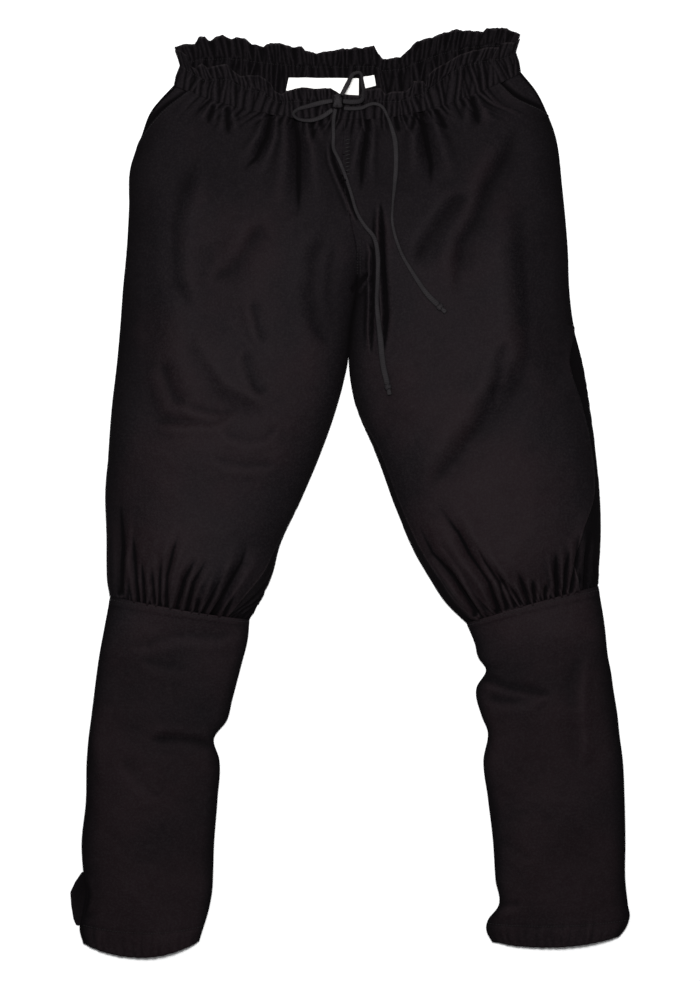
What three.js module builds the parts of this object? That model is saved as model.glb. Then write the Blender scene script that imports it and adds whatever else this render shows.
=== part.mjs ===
import * as THREE from 'three';

// Black cotton viking trousers laid flat with the front up: wide thighs gathered into a seam at the
// knee, narrow calves, and a gathered waist whose drawstring is tied in a bow.
// Millimetres. +X is the wearer's left, +Y runs up to the waist, +Z up from the surface, and the
// origin is on the surface under the middle of the outline.

// Driving dimensions
const CLOTH = 1.7; // wall of a panel
const GAP = 0.3; // between two pieces at a seam
const SQUARENESS = 2.6; // how squarely a flattened leg rounds over
const SIDE_HEIGHT = 5; // a side seam above the surface
const SIDE_SHARE = 0.4; // and at most this share of the leg's height there
const FLAT_SHARE = 0.6; // share of the half width that lies dead flat underneath
const EDGE_CROWDING = 0.16; // how far the columns leave the edges for the middle
const LIFT_CURVE = 1.5; // how late across the section the back rises to its inner end
const EDGE_CURVE = 3; // how late across the section the wall's depth turns inward

// Thighs, a row for each section from the waist seam to the knee seam. Outer and inner ends of the
// section, how far it bows down in the middle, how much higher the back lies at the inner end, the
// height of the front, how far the inner end closes (1 is an edge, less is a seam on the open
// body), and the front's outer edge, the side seam and the inseam as shares of the half width,
// where less than 1 is on the front.
const THIGH_COLUMNS = ['outerX', 'outerY', 'innerX', 'innerY', 'sag', 'lift', 'rise', 'closed',
  'frontEdge', 'sideSeam', 'inseam'];
const THIGH_RIGHT = [
  [-204, 472, -6, 431, 12, 35, 18, 0.35, 0.73, 1, 1],
  [-229, 444, -7, 414, 7, 31, 22, 0.45, 0.87, 1, 1],
  [-242, 412, -9, 389, 3, 26, 25, 0.55, 0.985, 1, 1],
  [-254, 378, -8, 362, 0, 20, 27, 0.65, 1, 1, 1],
  [-256, 328, -1, 322, 0, 12, 28, 0.78, 1, 1, 1],
  [-259, 276, 8, 276, 0, 5, 28, 0.92, 1, 1, 1],
  [-263, 235, 8, 237, 0, 0, 28, 1, 1, 1, 1],
  [-266, 194, 2, 194, 0, 0, 28, 1, 1, 1, 1],
  [-270, 150, -3, 151, 0, 0, 29, 1, 1, 1, 1],
  [-276, 98, -16, 98, 0, 0, 30, 1, 1, 1, 1],
  [-280, 44, -35, 44, 0, 0, 31, 1, 1, 1, 1],
  [-283, -14, -61, -17, 0, 0, 32, 1, 1, 1, 1],
  [-282, -55, -81, -61, 0, 0, 32, 1, 1, 1, 0.97],
  [-282, -84, -90, -95, 0, 0, 31, 1, 1, 1, 0.88],
  [-281, -106, -103, -125, 1, 0, 26, 1, 1, 1, 0.76],
  [-278, -122, -117, -149, 2, 0, 18, 1, 1, 1, 0.68],
];
const THIGH_LEFT = [
  [198, 487, -6, 431, 15, 35, 18, 0.35, 0.61, 1, 1],
  [215, 466, -7, 414, 9, 31, 22, 0.45, 0.7, 1, 1],
  [229, 438, -9, 389, 5, 26, 25, 0.55, 0.85, 1, 1],
  [238, 413, -8, 362, 2, 20, 27, 0.65, 0.985, 1, 1],
  [246, 352, -1, 322, 0, 12, 28, 0.78, 1, 1, 1],
  [252, 284, 8, 276, 0, 5, 28, 0.92, 1, 1, 1],
  [254, 235, 8, 237, 0, 0, 28, 1, 1, 1, 1],
  [259, 194, 2, 194, 0, 0, 28, 1, 1, 1, 1],
  [270, 150, -1, 151, 0, 0, 29, 1, 0.88, 0.88, 1],
  [278, 102, 7, 100, 0, 0, 30, 1, 0.92, 0.92, 1],
  [285, 49, 29, 47, 0, 0, 31, 1, 0.95, 0.95, 1],
  [290, -6, 53, -18, 0, 0, 32, 1, 0.92, 0.92, 1],
  [291, -44, 74, -68, 0, 0, 32, 1, 0.78, 0.78, 1],
  [290, -74, 92, -99, 0, 0, 31, 1, 0.7, 0.7, 1],
  [289, -95, 111, -128, -2, 0, 26, 1, 0.7, 0.7, 1],
  [288, -111, 136, -153, -2, 0, 18, 1, 0.72, 0.72, 1],
];

// Calves, a row for each section from the knee seam to the hem, with the seams at the edges
const CALF_COLUMNS = ['outerX', 'outerY', 'innerX', 'innerY', 'sag', 'rise'];
const CALF_RIGHT = [
  [-278, -122, -117, -149, 2, 18],
  [-284, -154, -119, -171, 2, 16],
  [-291, -192, -126, -199, 0, 15],
  [-297, -238, -137, -241, 0, 15],
  [-300, -262, -143, -264, 0, 15],
  [-303, -285, -158, -285, 0, 14],
  [-305, -310, -152, -309, 0, 14],
  [-306, -357, -154, -357, 0, 14],
  [-311, -409, -158, -409, 0, 14],
  [-309, -440, -159, -440, 0, 13],
  [-306, -462, -160, -461, 0, 13],
  [-310, -487, -165, -487, 3, 12],
  [-313, -509, -172, -510, 12, 12],
  [-309, -523, -175, -520, 17, 11],
];
const CALF_LEFT = [
  [288, -111, 136, -153, -2, 18],
  [295, -154, 145, -175, -2, 16],
  [299, -191, 150, -193, 0, 15],
  [302, -206, 158, -205, 0, 15],
  [305, -227, 147, -226, 0, 15],
  [310, -259, 153, -259, 0, 15],
  [312, -279, 160, -277, 0, 14],
  [316, -310, 155, -310, 0, 14],
  [318, -353, 160, -353, 0, 14],
  [319, -403, 166, -403, 0, 14],
  [319, -449, 169, -449, 0, 13],
  [322, -478, 172, -480, 0, 13],
  [324, -492, 160, -496, 3, 12],
  [319, -506, 159, -510, 8, 12],
  [313, -514, 165, -521, 9, 11],
];

// The largest creases: a line from one end to the other, its half width and its depth, where less
// than 0 is a ridge
const CREASE_COLUMNS = ['fromX', 'fromY', 'toX', 'toY', 'halfWidth', 'depth'];
const FRONT_CREASES = [
  [-186, 380, -205, 241, 10, 5],
  [-97, 415, -128, 372, 10, 6],
  [-71, 427, -61, 345, 9, 8],
  [-102, 304, -151, 236, 10, 6],
  [-108, 183, -108, 128, 10, 5],
  [-181, 194, -84, 92, 10, -4],
  [-225, 77, -108, 95, 9, 5],
  [-176, 66, -88, 68, 8, 4],
  [41, 409, 10, 351, 9, 6],
  [93, 430, 92, 361, 10, 6],
  [37, 328, 42, 177, 10, 6],
  [-35, 295, -37, 198, 9, 5],
  [168, 392, 72, 258, 12, 6],
  [162, 351, 119, 229, 9, 5],
  [204, 310, 205, 142, 14, 6],
  [205, 142, 93, 1, 13, 7],
  [181, 179, 165, 105, 10, 5],
  [-264, -23, -264, -102, 9, 6],
  [-174, -74, -204, -133, 9, 7],
  [-117, -52, -177, -140, 10, 7],
  [-240, -74, -240, -127, 8, 5],
  [104, -18, 177, -122, 10, 7],
  [146, -45, 193, -127, 9, 6],
  [200, -89, 211, -126, 9, 6],
  [239, -74, 234, -119, 8, 5],
  [276, -66, 275, -107, 9, 5],
  [-247, -173, -128, -164, 8, 3],
  [-164, -294, -232, -286, 9, 4],
  [-260, -309, -220, -349, 9, 3],
  [154, -231, 230, -235, 9, 4],
  [150, -219, 230, -233, 8, 3],
  [184, -408, 206, -424, 9, 3],
];
const BACK_CREASES = [
  [-70, 398, -84, 330, 11, 5],
  [64, 396, 78, 318, 11, 5],
  [-226, 300, -214, 196, 12, 4],
  [214, 318, 200, 204, 12, 4],
  [-118, -34, -150, -118, 12, 6],
  [-232, -40, -226, -104, 12, 5],
  [128, -40, 160, -118, 12, 6],
  [242, -30, 236, -92, 12, 5],
  [-244, -300, -190, -330, 12, 3],
  [214, -306, 262, -334, 12, 3],
];

// Waist edges across the trousers: the height on the photographed face of the stitch line above the
// casing and of the ruffle's edge, at each place across
const WAIST_COLUMNS = ['x', 'stitch', 'edge'];
const FRONT_WAIST = [
  [-197, 495, 513],
  [-168, 476, 495],
  [-142, 477, 495],
  [-122, 466, 482],
  [-102, 463, 481],
  [-85, 449, 460],
  [-58, 452, 467],
  [-35, 451, 466],
  [-6, 448, 459],
  [23, 451, 465],
  [58, 452, 463],
  [87, 462, 472],
  [104, 475, 492],
  [128, 491, 506],
  [151, 497, 513],
  [174, 502, 516],
  [198, 510, 528],
];
const BACK_WAIST = [
  [-201, 495, 517],
  [-175, 502, 527],
  [-148, 504, 528],
  [-122, 502, 526],
  [-93, 498, 519],
  [-52, 494, 512],
  [-6, 494, 514],
  [28, 495, 517],
  [37, 490, 503],
  [58, 491, 505],
  [78, 499, 523],
  [104, 509, 531],
  [135, 516, 535],
  [162, 519, 538],
  [176, 519, 539],
  [201, 511, 530],
];

// Waistband, a row for each level from its lower seam to the ruffle's edge: how far it is to the
// stitch line and from there to the edge, its wall, how far it stands up, its width as a share of
// the seam's, and how far the ruffle's pleats reach
const BAND_COLUMNS = ['toStitch', 'toEdge', 'wall', 'raise', 'width', 'pleat'];
const BAND_LEVELS = [
  [0, 0, 1.7, 0, 1, 0],
  [0.5, 0, 4.2, 2.2, 0.985, 0],
  [1, 0, 2.2, -0.5, 0.965, 0.3],
  [1, 0.55, 1.7, 0, 0.98, 0.8],
  [1, 1, 1.7, 0.5, 0.995, 1],
];
const FRONT_PLEAT = 2.6;
const BACK_PLEAT = 2.2;
const PLEAT_SWELL = 0.35; // share by which some pleats are deeper than others
const PLEAT_BEAT = 1.7;
const BAND_SIDE_GAPS = 2.5; // half gaps from its end to the side seam, because the casing is thick

// Cells of the panels
const FRONT_CELLS = 18;
const BACK_CELLS = 11;
const CALF_CELLS = 9;
const BAND_CELLS = 22;

// Pocket facings: depth under the face of the trousers, wall, the front's columns that they reach
// under, and the columns beyond its edge
const FACING_DEPTH = CLOTH + 0.8;
const FACING_WALL = 1.2;
const FACING_UNDER = 3;
const FACING_BEYOND = 3;

// Vent facing at the right ankle: its seam on the calf's outer edge and its free edge, down the leg
const VENT_COLUMNS = ['y', 'seamX', 'edgeX'];
const VENT = [
  [-441, -309.4, -311.5],
  [-452, -308.1, -319],
  [-464, -307, -324.5],
  [-480, -309.6, -323.5],
  [-495, -311.6, -321],
  [-502, -312.7, -318],
];
const VENT_WALL = 1.4;
const VENT_DROP = 1.5; // of the free edge below the seam

// Labels on the inside of the back casing: their corners, from the upper left one round
const LABEL_WALL = 0.6;
const LABEL_CELLS = 8;
const LABEL_REACH = 5; // to either side, over which it clears the casing
const WAIST_LABEL = [[-71, 481], [10, 480], [10, 461], [-74, 466]];
const SIZE_TAB = [[15, 482], [28, 484], [30, 472], [18, 469]];

// Drawstring tape, half its width and half its thickness
const TAPE_HALF_WIDTH = 2.9;
const TAPE_HALF_WALL = 1.4;
const TAPE_STEP = 13;
const TAPE_SIDES = 8;
const TAPE_CLEARANCE = 0.5;
// The knot's middle and half sizes, the share of it that seats, and the half size of the tips' knots
const KNOT = { x: -14, y: 451, halfWidth: 6.5, halfHeight: 8.5, halfWall: 4.2, seat: 0.5 };
const TIP_HALF = 4.6;
const KNOT_FACES = [12, 8]; // round it and from end to end
// The tape's routes, a point at each bend
const LOOP_RIGHT_SIDE = [[-20.6, 454], [-37, 453.5], [-54, 449], [-65, 440], [-58, 431],
  [-44, 429], [-31, 437], [-21, 446.4]];
const LOOP_LEFT_SIDE = [[-9.2, 458.2], [-3, 470], [4, 482], [12, 483], [14, 471], [15, 458],
  [12, 449], [3, 445.5], [-7.4, 446.8]];
const END_LONG = [[-17, 442], [-19, 430], [-19, 411], [-19, 397], [-14, 386], [-8, 372], [0, 349],
  [8, 323], [16, 309], [28, 293], [32, 273], [32, 248], [31, 217], [35, 178], [38, 148], [43, 125]];
const END_SHORT = [[-6.4, 447.5], [8, 447], [20, 448.5], [29, 449], [37, 445], [44, 432],
  [49, 417], [52, 404], [53, 378], [51, 351], [49, 329], [49, 309], [58, 278], [72, 253], [89, 228],
  [101, 216]];
const LOOP_LEAST_HEIGHT = 24; // the standing loop stays above the front ruffle

// Finishes
const cotton = new THREE.MeshStandardMaterial({ color: 0x141216, roughness: 0.92, metalness: 0 });
const tapeCotton = new THREE.MeshStandardMaterial({ color: 0x0f0e11, roughness: 0.85, metalness: 0 });
const whiteWeave = new THREE.MeshStandardMaterial({ color: 0xd9d7d2, roughness: 0.7, metalness: 0 });

const named = (columns, rows) => rows.map((row) => Object.fromEntries(
  columns.map((column, index) => [column, row[index]])));
const frontCreases = named(CREASE_COLUMNS, FRONT_CREASES);
const backCreases = named(CREASE_COLUMNS, BACK_CREASES);

// Depth of all the creases at a place: a soft trough along each line
function creaseDepth(creases, x, y) {
  let depth = 0;
  for (const crease of creases) {
    const alongX = crease.toX - crease.fromX;
    const alongY = crease.toY - crease.fromY;
    const dot = (x - crease.fromX) * alongX + (y - crease.fromY) * alongY;
    const share = THREE.MathUtils.clamp(dot / (alongX ** 2 + alongY ** 2), 0, 1);
    const away = Math.hypot(x - crease.fromX - share * alongX, y - crease.fromY - share * alongY);
    depth += crease.depth * Math.exp(-((away / crease.halfWidth) ** 2));
  }
  return depth;
}

// Sections of one leg, with the gap to the other leg and to the pieces above and below it
function legSections(columns, rows, side) {
  const sections = named(columns, rows);
  sections.forEach((section, index) => {
    const last = index === sections.length - 1;
    const shift = index === 0 ? -GAP / 2 : last ? GAP / 2 : 0;
    section.sewn = index === 0 || last;
    section.outerY += shift;
    section.innerY += shift;
    section.innerX += side * GAP / 2;
    section.lift ??= 0;
    section.closed ??= 1;
    section.frontEdge ??= 1;
    section.sideSeam ??= 1;
    section.inseam ??= 1;
    section.sideHeight = Math.min(SIDE_HEIGHT, SIDE_SHARE * section.rise);
  });
  return sections;
}

// One point of a leg. The angle runs round the section: 0 at its inner end, a quarter turn on top,
// half a turn at its outer end, and back underneath. The depth is inside the outer face.
function legPoint(section, angle, depth) {
  const across = Math.cos(angle);
  const closing = across > 0 ? across * section.closed : -across;
  const roundness = Math.sqrt(Math.max(0, 1 - closing ** SQUARENESS));
  const width = Math.hypot(section.innerX - section.outerX, section.innerY - section.outerY);
  const inward = Math.sign(across) * depth * closing ** EDGE_CURVE / width;
  const share = (1 + across) / 2 - inward;
  const under = Math.sin(angle) < 0;
  const x = THREE.MathUtils.lerp(section.outerX, section.innerX, share);
  const lift = under ? section.lift * share ** LIFT_CURVE : 0;
  const y = THREE.MathUtils.lerp(section.outerY, section.innerY, share) + lift
    - section.sag * (1 - across ** 2);
  if (under) {
    const bend = Math.max(0, (closing - FLAT_SHARE) / (1 - FLAT_SHARE)) ** 2;
    const crease = section.sewn ? 0 : creaseDepth(backCreases, x, y) * roundness;
    return new THREE.Vector3(x, y, section.sideHeight * bend + depth * roundness + crease);
  }
  const crease = section.sewn ? 0 : creaseDepth(frontCreases, x, y);
  const rise = section.rise - section.sideHeight - depth - crease;
  return new THREE.Vector3(x, y, section.sideHeight + rise * roundness);
}

// Columns are evenly spaced in turns. They are closer together in the middle than the angle is.
const angleAt = (turn) => Math.PI * turn + EDGE_CROWDING * Math.sin(2 * Math.PI * turn);

// The turn of an angle, by halving the range that holds it
const HALVINGS = 40;
function turnAt(angle) {
  let low = 0;
  let high = 3;
  for (let step = 0; step < HALVINGS; step += 1) {
    const middle = (low + high) / 2;
    if (angleAt(middle) < angle) low = middle;
    else high = middle;
  }
  return (low + high) / 2;
}

// The angle that half the seam gap takes at a place on a section
function halfGap(section, angle) {
  const probe = 0.01;
  const before = legPoint(section, angle - probe, 0);
  const after = legPoint(section, angle + probe, 0);
  const speed = Math.max(before.distanceTo(after) / (2 * probe), 1);
  return GAP / 2 / speed;
}

// A closed wall of cloth from a grid of points on its outer face (0) and its inner face (1)
function clothWall(rows, columns, pointAt) {
  const points = [];
  for (const face of [0, 1]) {
    for (let row = 0; row <= rows; row += 1) {
      for (let column = 0; column <= columns; column += 1) points.push(pointAt(row, column, face));
    }
  }
  const at = (row, column, face) => (face * (rows + 1) + row) * (columns + 1) + column;
  const triangles = [];
  const quad = (a, b, c, d) => triangles.push(a, b, c, a, c, d);
  for (let row = 0; row < rows; row += 1) {
    for (let column = 0; column < columns; column += 1) {
      quad(at(row, column, 0), at(row, column + 1, 0), at(row + 1, column + 1, 0),
        at(row + 1, column, 0));
      quad(at(row, column, 1), at(row + 1, column, 1), at(row + 1, column + 1, 1),
        at(row, column + 1, 1));
    }
    quad(at(row, 0, 0), at(row + 1, 0, 0), at(row + 1, 0, 1), at(row, 0, 1));
    quad(at(row, columns, 0), at(row, columns, 1), at(row + 1, columns, 1),
      at(row + 1, columns, 0));
  }
  for (let column = 0; column < columns; column += 1) {
    quad(at(0, column, 0), at(0, column, 1), at(0, column + 1, 1), at(0, column + 1, 0));
    quad(at(rows, column, 0), at(rows, column + 1, 0), at(rows, column + 1, 1),
      at(rows, column, 1));
  }
  return facingOut(points, triangles);
}

// A geometry whose faces point out, whichever way round the grid was walked
function facingOut(points, triangles) {
  let volume = 0;
  for (let index = 0; index < triangles.length; index += 3) {
    const [a, b, c] = triangles.slice(index, index + 3).map((corner) => points[corner]);
    volume += a.dot(new THREE.Vector3().crossVectors(b, c)) / 6;
  }
  if (volume < 0) triangles.reverse();
  const geometry = new THREE.BufferGeometry().setFromPoints(points);
  geometry.setIndex(triangles);
  geometry.computeVertexNormals();
  return geometry;
}

// A panel between two angles of each section, where the angles may change down the leg
function panel(sections, cells, from, to, depth, wall) {
  const turns = sections.map((section) => [turnAt(from(section)), turnAt(to(section))]);
  return clothWall(sections.length - 1, cells, (row, column, face) => {
    const turn = THREE.MathUtils.lerp(...turns[row], column / cells);
    return legPoint(sections[row], angleAt(turn), depth + face * wall);
  });
}

// Where the seams are on a section, half a gap to either side of them
const inseamAngle = (section) => Math.acos(section.inseam);
const frontEdgeAngle = (section) => Math.PI - Math.acos(section.frontEdge);
const sideSeamAngle = (section) => Math.PI - Math.acos(section.sideSeam);
const afterInseam = (section) => inseamAngle(section) + halfGap(section, inseamAngle(section));
const beforeEdge = (section) => frontEdgeAngle(section)
  - halfGap(section, frontEdgeAngle(section));
const afterSide = (section) => sideSeamAngle(section) + halfGap(section, sideSeamAngle(section));
const beforeInseam = (section) => 2 * Math.PI + inseamAngle(section)
  - halfGap(section, inseamAngle(section));
const beforeSide = (section) => Math.PI - halfGap(section, Math.PI);

const frontPanel = (sections, cells) => panel(sections, cells, afterInseam, beforeEdge, 0, CLOTH);
const backPanel = (sections, cells) => panel(sections, cells, afterSide, beforeInseam, 0, CLOTH);

// The facing that shows in a pocket opening lies under the front's cut edge, column by column, and
// fills the rest of the way to the side seam
function pocketFacing(sections) {
  const open = sections.findIndex((section) => section.frontEdge === 1);
  const pointOn = (section, column, face) => {
    const edge = turnAt(beforeEdge(section));
    const beyond = (column - FACING_UNDER) / FACING_BEYOND;
    const turn = column < FACING_UNDER
      ? THREE.MathUtils.lerp(turnAt(afterInseam(section)), edge,
        1 - (FACING_UNDER - column) / FRONT_CELLS)
      : THREE.MathUtils.lerp(edge, turnAt(beforeSide(section)), beyond);
    return legPoint(section, angleAt(turn), FACING_DEPTH + face * FACING_WALL);
  };
  return clothWall(open - 1, FACING_UNDER + FACING_BEYOND,
    (row, column, face) => pointOn(sections[row], column, face));
}

// The height of a waist edge at a place across
function waistAt(rows, x, column) {
  const after = Math.max(1, rows.findIndex((row) => row.x > x));
  const [a, b] = x >= rows.at(-1).x ? rows.slice(-2) : [rows[after - 1], rows[after]];
  const share = THREE.MathUtils.clamp((x - a.x) / (b.x - a.x), 0, 1);
  return THREE.MathUtils.lerp(a[column], b[column], share);
}

// The front or the back of the waistband, from side to side: the casing and the ruffle above it
function waistband(rightSection, leftSection, edges, under) {
  const levels = named(BAND_COLUMNS, BAND_LEVELS);
  const rows = named(WAIST_COLUMNS, edges);
  const pointAt = (row, column, face) => {
    const level = levels[row];
    const section = column <= BAND_CELLS ? rightSection : leftSection;
    const share = Math.abs(column / BAND_CELLS - 1);
    const turn = Math.min(share, turnAt(Math.PI - BAND_SIDE_GAPS * halfGap(section, Math.PI)));
    const angle = under ? 2 * Math.PI - angleAt(turn) : angleAt(turn);
    const seam = legPoint(section, angle, face * level.wall);
    const facePoint = legPoint(section, angle, 0);
    const roundness = Math.sqrt(1 - Math.max(0, -Math.cos(angle)) ** SQUARENESS);
    const x = seam.x * level.width;
    const stitch = waistAt(rows, x, 'stitch');
    const edge = waistAt(rows, x, 'edge');
    const toStitch = THREE.MathUtils.lerp(facePoint.y + GAP, stitch, level.toStitch);
    const y = toStitch + (edge - stitch) * level.toEdge;
    const swell = 1 + PLEAT_SWELL * Math.sin(column * PLEAT_BEAT);
    const pleat = (column % 2 === 0 ? 1 : -1) * swell * level.pleat * roundness;
    const lift = under
      ? BACK_PLEAT * (pleat + (1 + PLEAT_SWELL) * level.pleat * roundness)
      : FRONT_PLEAT * pleat + level.raise * roundness;
    return new THREE.Vector3(x, y, seam.z + lift);
  };
  return clothWall(levels.length - 1, 2 * BAND_CELLS, pointAt);
}

// The narrow facing that shows beside the right ankle
function ventFacing(height) {
  const rows = named(VENT_COLUMNS, VENT);
  return clothWall(rows.length - 1, 2, (row, column, face) => {
    const share = column / 2;
    const z = height - share * VENT_DROP + (0.5 - face) * VENT_WALL;
    return new THREE.Vector3(
      THREE.MathUtils.lerp(rows[row].seamX, rows[row].edgeX, share), rows[row].y, z);
  });
}

// The highest point of the given pieces over a place
const caster = new THREE.Raycaster();
const DOWN = new THREE.Vector3(0, 0, -1);
const ABOVE_ALL = 200;
function topOf(meshes, x, y) {
  caster.set(new THREE.Vector3(x, y, ABOVE_ALL), DOWN);
  const hits = caster.intersectObjects(meshes, false);
  return hits.length > 0 ? hits[0].point.z : 0;
}

// The highest point of the given pieces within a reach of a place
const PROBES = [-1, -0.5, 0, 0.5, 1];
const topAround = (meshes, x, y, reachX, reachY) => Math.max(...PROBES.flatMap(
  (across) => PROBES.map((along) => topOf(meshes, x + across * reachX, y + along * reachY))));

// A label that lies on the back casing, between its four corners
function label(corners, meshes) {
  const [upperLeft, upperRight, lowerRight, lowerLeft] = corners;
  const between = ([fromX, fromY], [toX, toY], share) => [
    THREE.MathUtils.lerp(fromX, toX, share), THREE.MathUtils.lerp(fromY, toY, share)];
  return clothWall(1, LABEL_CELLS, (row, column, face) => {
    const upper = between(upperLeft, upperRight, column / LABEL_CELLS);
    const lower = between(lowerLeft, lowerRight, column / LABEL_CELLS);
    const [x, y] = row === 0 ? upper : lower;
    const [middleX, middleY] = between(upper, lower, 0.5);
    const top = topAround(meshes, middleX, middleY, LABEL_REACH, (upper[1] - lower[1]) / 2);
    return new THREE.Vector3(x, y, top + GAP + (1 - face) * LABEL_WALL);
  });
}

// A path whose section keeps its thin way up, as a tape that lies flat does
class FlatPath extends THREE.CatmullRomCurve3 {
  computeFrenetFrames(segments) {
    const up = new THREE.Vector3(0, 0, 1);
    const stops = Array.from({ length: segments + 1 }, (_, index) => index / segments);
    const tangents = stops.map((stop) => this.getTangentAt(stop));
    const binormals = tangents.map((tangent) => tangent.clone().cross(up).normalize());
    const normals = tangents.map((tangent, index) => binormals[index].clone().cross(tangent));
    return { tangents, normals, binormals };
  }
}

// A flat tape laid along a route on the given pieces
function tape(route, meshes, leastHeight = 0) {
  const plan = new THREE.CatmullRomCurve3(
    route.map(([x, y]) => new THREE.Vector3(x, y, 0)), false, 'centripetal');
  const steps = Math.ceil(plan.getLength() / TAPE_STEP);
  const places = plan.getSpacedPoints(steps * 2);
  const tops = places.map((place) => Math.max(leastHeight,
    topAround(meshes, place.x, place.y, TAPE_HALF_WIDTH, TAPE_HALF_WIDTH)));
  places.forEach((place, index) => {
    const near = tops.slice(Math.max(0, index - 1), index + 2);
    place.z = Math.max(...near) + TAPE_CLEARANCE + TAPE_HALF_WALL;
  });
  const section = new THREE.Shape(Array.from({ length: TAPE_SIDES }, (_, corner) => {
    const angle = (corner + 0.5) * 2 * Math.PI / TAPE_SIDES;
    return new THREE.Vector2(TAPE_HALF_WALL * Math.cos(angle), TAPE_HALF_WIDTH * Math.sin(angle));
  }));
  const extrudePath = new FlatPath(places, false, 'centripetal');
  return new THREE.ExtrudeGeometry(section, { steps, extrudePath });
}

const trousers = new THREE.Group();
trousers.name = 'viking_trousers';

function addPiece(name, geometry, material) {
  const mesh = new THREE.Mesh(geometry, material);
  mesh.name = name;
  trousers.add(mesh);
  return mesh;
}

const RIGHT = -1;
const LEFT = 1;
const thighs = {
  right: legSections(THIGH_COLUMNS, THIGH_RIGHT, RIGHT),
  left: legSections(THIGH_COLUMNS, THIGH_LEFT, LEFT),
};
const calves = {
  right: legSections(CALF_COLUMNS, CALF_RIGHT, RIGHT),
  left: legSections(CALF_COLUMNS, CALF_LEFT, LEFT),
};
const fronts = [];
const backs = [];
for (const side of ['right', 'left']) {
  fronts.push(addPiece(`thigh_front_${side}`, frontPanel(thighs[side], FRONT_CELLS), cotton));
  backs.push(addPiece(`thigh_back_${side}`, backPanel(thighs[side], BACK_CELLS), cotton));
  addPiece(`pocket_facing_${side}`, pocketFacing(thighs[side]), cotton);
  addPiece(`calf_front_${side}`, frontPanel(calves[side], CALF_CELLS), cotton);
  addPiece(`calf_back_${side}`, backPanel(calves[side], CALF_CELLS), cotton);
}
addPiece('vent_facing_right', ventFacing(SIDE_HEIGHT), cotton);

const bandFront = addPiece('waistband_front',
  waistband(thighs.right[0], thighs.left[0], FRONT_WAIST, false), cotton);
const bandBack = addPiece('waistband_back',
  waistband(thighs.right[0], thighs.left[0], BACK_WAIST, true), cotton);
addPiece('waist_label', label(WAIST_LABEL, [bandBack, ...backs]), whiteWeave);
addPiece('size_tab', label(SIZE_TAB, [bandBack]), whiteWeave);

// The bow lies on the front, round its knot
const ground = [...fronts, bandFront];
const knotTop = topAround(ground, KNOT.x, KNOT.y, KNOT.seat * KNOT.halfWidth,
  KNOT.seat * KNOT.halfHeight);
const knot = addPiece('drawstring_knot', new THREE.SphereGeometry(1, ...KNOT_FACES), tapeCotton);
knot.scale.set(KNOT.halfWidth, KNOT.halfHeight, KNOT.halfWall);
knot.position.set(KNOT.x, KNOT.y, knotTop + GAP + KNOT.halfWall);
addPiece('drawstring_loop_right', tape(LOOP_RIGHT_SIDE, ground), tapeCotton);
addPiece('drawstring_loop_left', tape(LOOP_LEFT_SIDE, ground, LOOP_LEAST_HEIGHT), tapeCotton);
for (const [name, route] of [['long', END_LONG], ['short', END_SHORT]]) {
  addPiece(`drawstring_end_${name}`, tape(route, ground), tapeCotton);
  const [beforeX, beforeY] = route.at(-2);
  const [x, y] = route.at(-1);
  const way = new THREE.Vector2(x - beforeX, y - beforeY).setLength(TIP_HALF + GAP);
  const tip = addPiece(`drawstring_tip_${name}`,
    new THREE.SphereGeometry(TIP_HALF, ...KNOT_FACES), tapeCotton);
  const tipTop = topAround(fronts, x + way.x, y + way.y, TIP_HALF / 2, TIP_HALF / 2);
  tip.position.set(x + way.x, y + way.y, tipTop + TIP_HALF + GAP);
}

export default trousers;
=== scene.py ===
import math
import random

import bpy
import numpy as np
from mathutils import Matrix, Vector
from mathutils.bvhtree import BVHTree


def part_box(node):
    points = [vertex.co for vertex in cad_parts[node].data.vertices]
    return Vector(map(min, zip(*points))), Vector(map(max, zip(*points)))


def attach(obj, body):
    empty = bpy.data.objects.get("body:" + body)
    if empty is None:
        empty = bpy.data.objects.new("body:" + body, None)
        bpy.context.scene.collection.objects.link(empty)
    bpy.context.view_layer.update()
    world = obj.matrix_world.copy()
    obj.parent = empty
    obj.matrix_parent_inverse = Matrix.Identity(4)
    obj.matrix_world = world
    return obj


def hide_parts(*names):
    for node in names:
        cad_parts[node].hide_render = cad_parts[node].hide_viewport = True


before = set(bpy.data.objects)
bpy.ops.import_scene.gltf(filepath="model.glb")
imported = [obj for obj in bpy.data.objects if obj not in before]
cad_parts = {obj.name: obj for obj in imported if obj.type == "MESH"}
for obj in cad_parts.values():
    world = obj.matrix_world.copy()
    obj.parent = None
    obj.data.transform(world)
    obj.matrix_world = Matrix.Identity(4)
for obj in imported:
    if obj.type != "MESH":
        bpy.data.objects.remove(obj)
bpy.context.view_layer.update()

# The trousers are flat on a table and seen from straight above, so the camera looks down with the
# waist at the top of the picture. Lengths here are millimetres, and MM turns them into metres.
MM = 0.001
PICTURE_ROWS = 981
ROW_MM = 1.16
PICTURE_MIDDLE_Y = 2.3
EDGE_LEVEL = 5
CAMERA_DISTANCE = 3000
camera_data = bpy.data.cameras.new("camera")
camera_data.type = "PERSP"
camera_data.sensor_width = 36
camera_data.lens = camera_data.sensor_width * CAMERA_DISTANCE / (PICTURE_ROWS * ROW_MM)
camera = bpy.data.objects.new("camera", camera_data)
camera.location = (0, PICTURE_MIDDLE_Y * MM, (CAMERA_DISTANCE + EDGE_LEVEL) * MM)
bpy.context.scene.collection.objects.link(camera)
bpy.context.scene.camera = camera
bpy.context.scene.view_settings.view_transform = "Standard"


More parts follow.
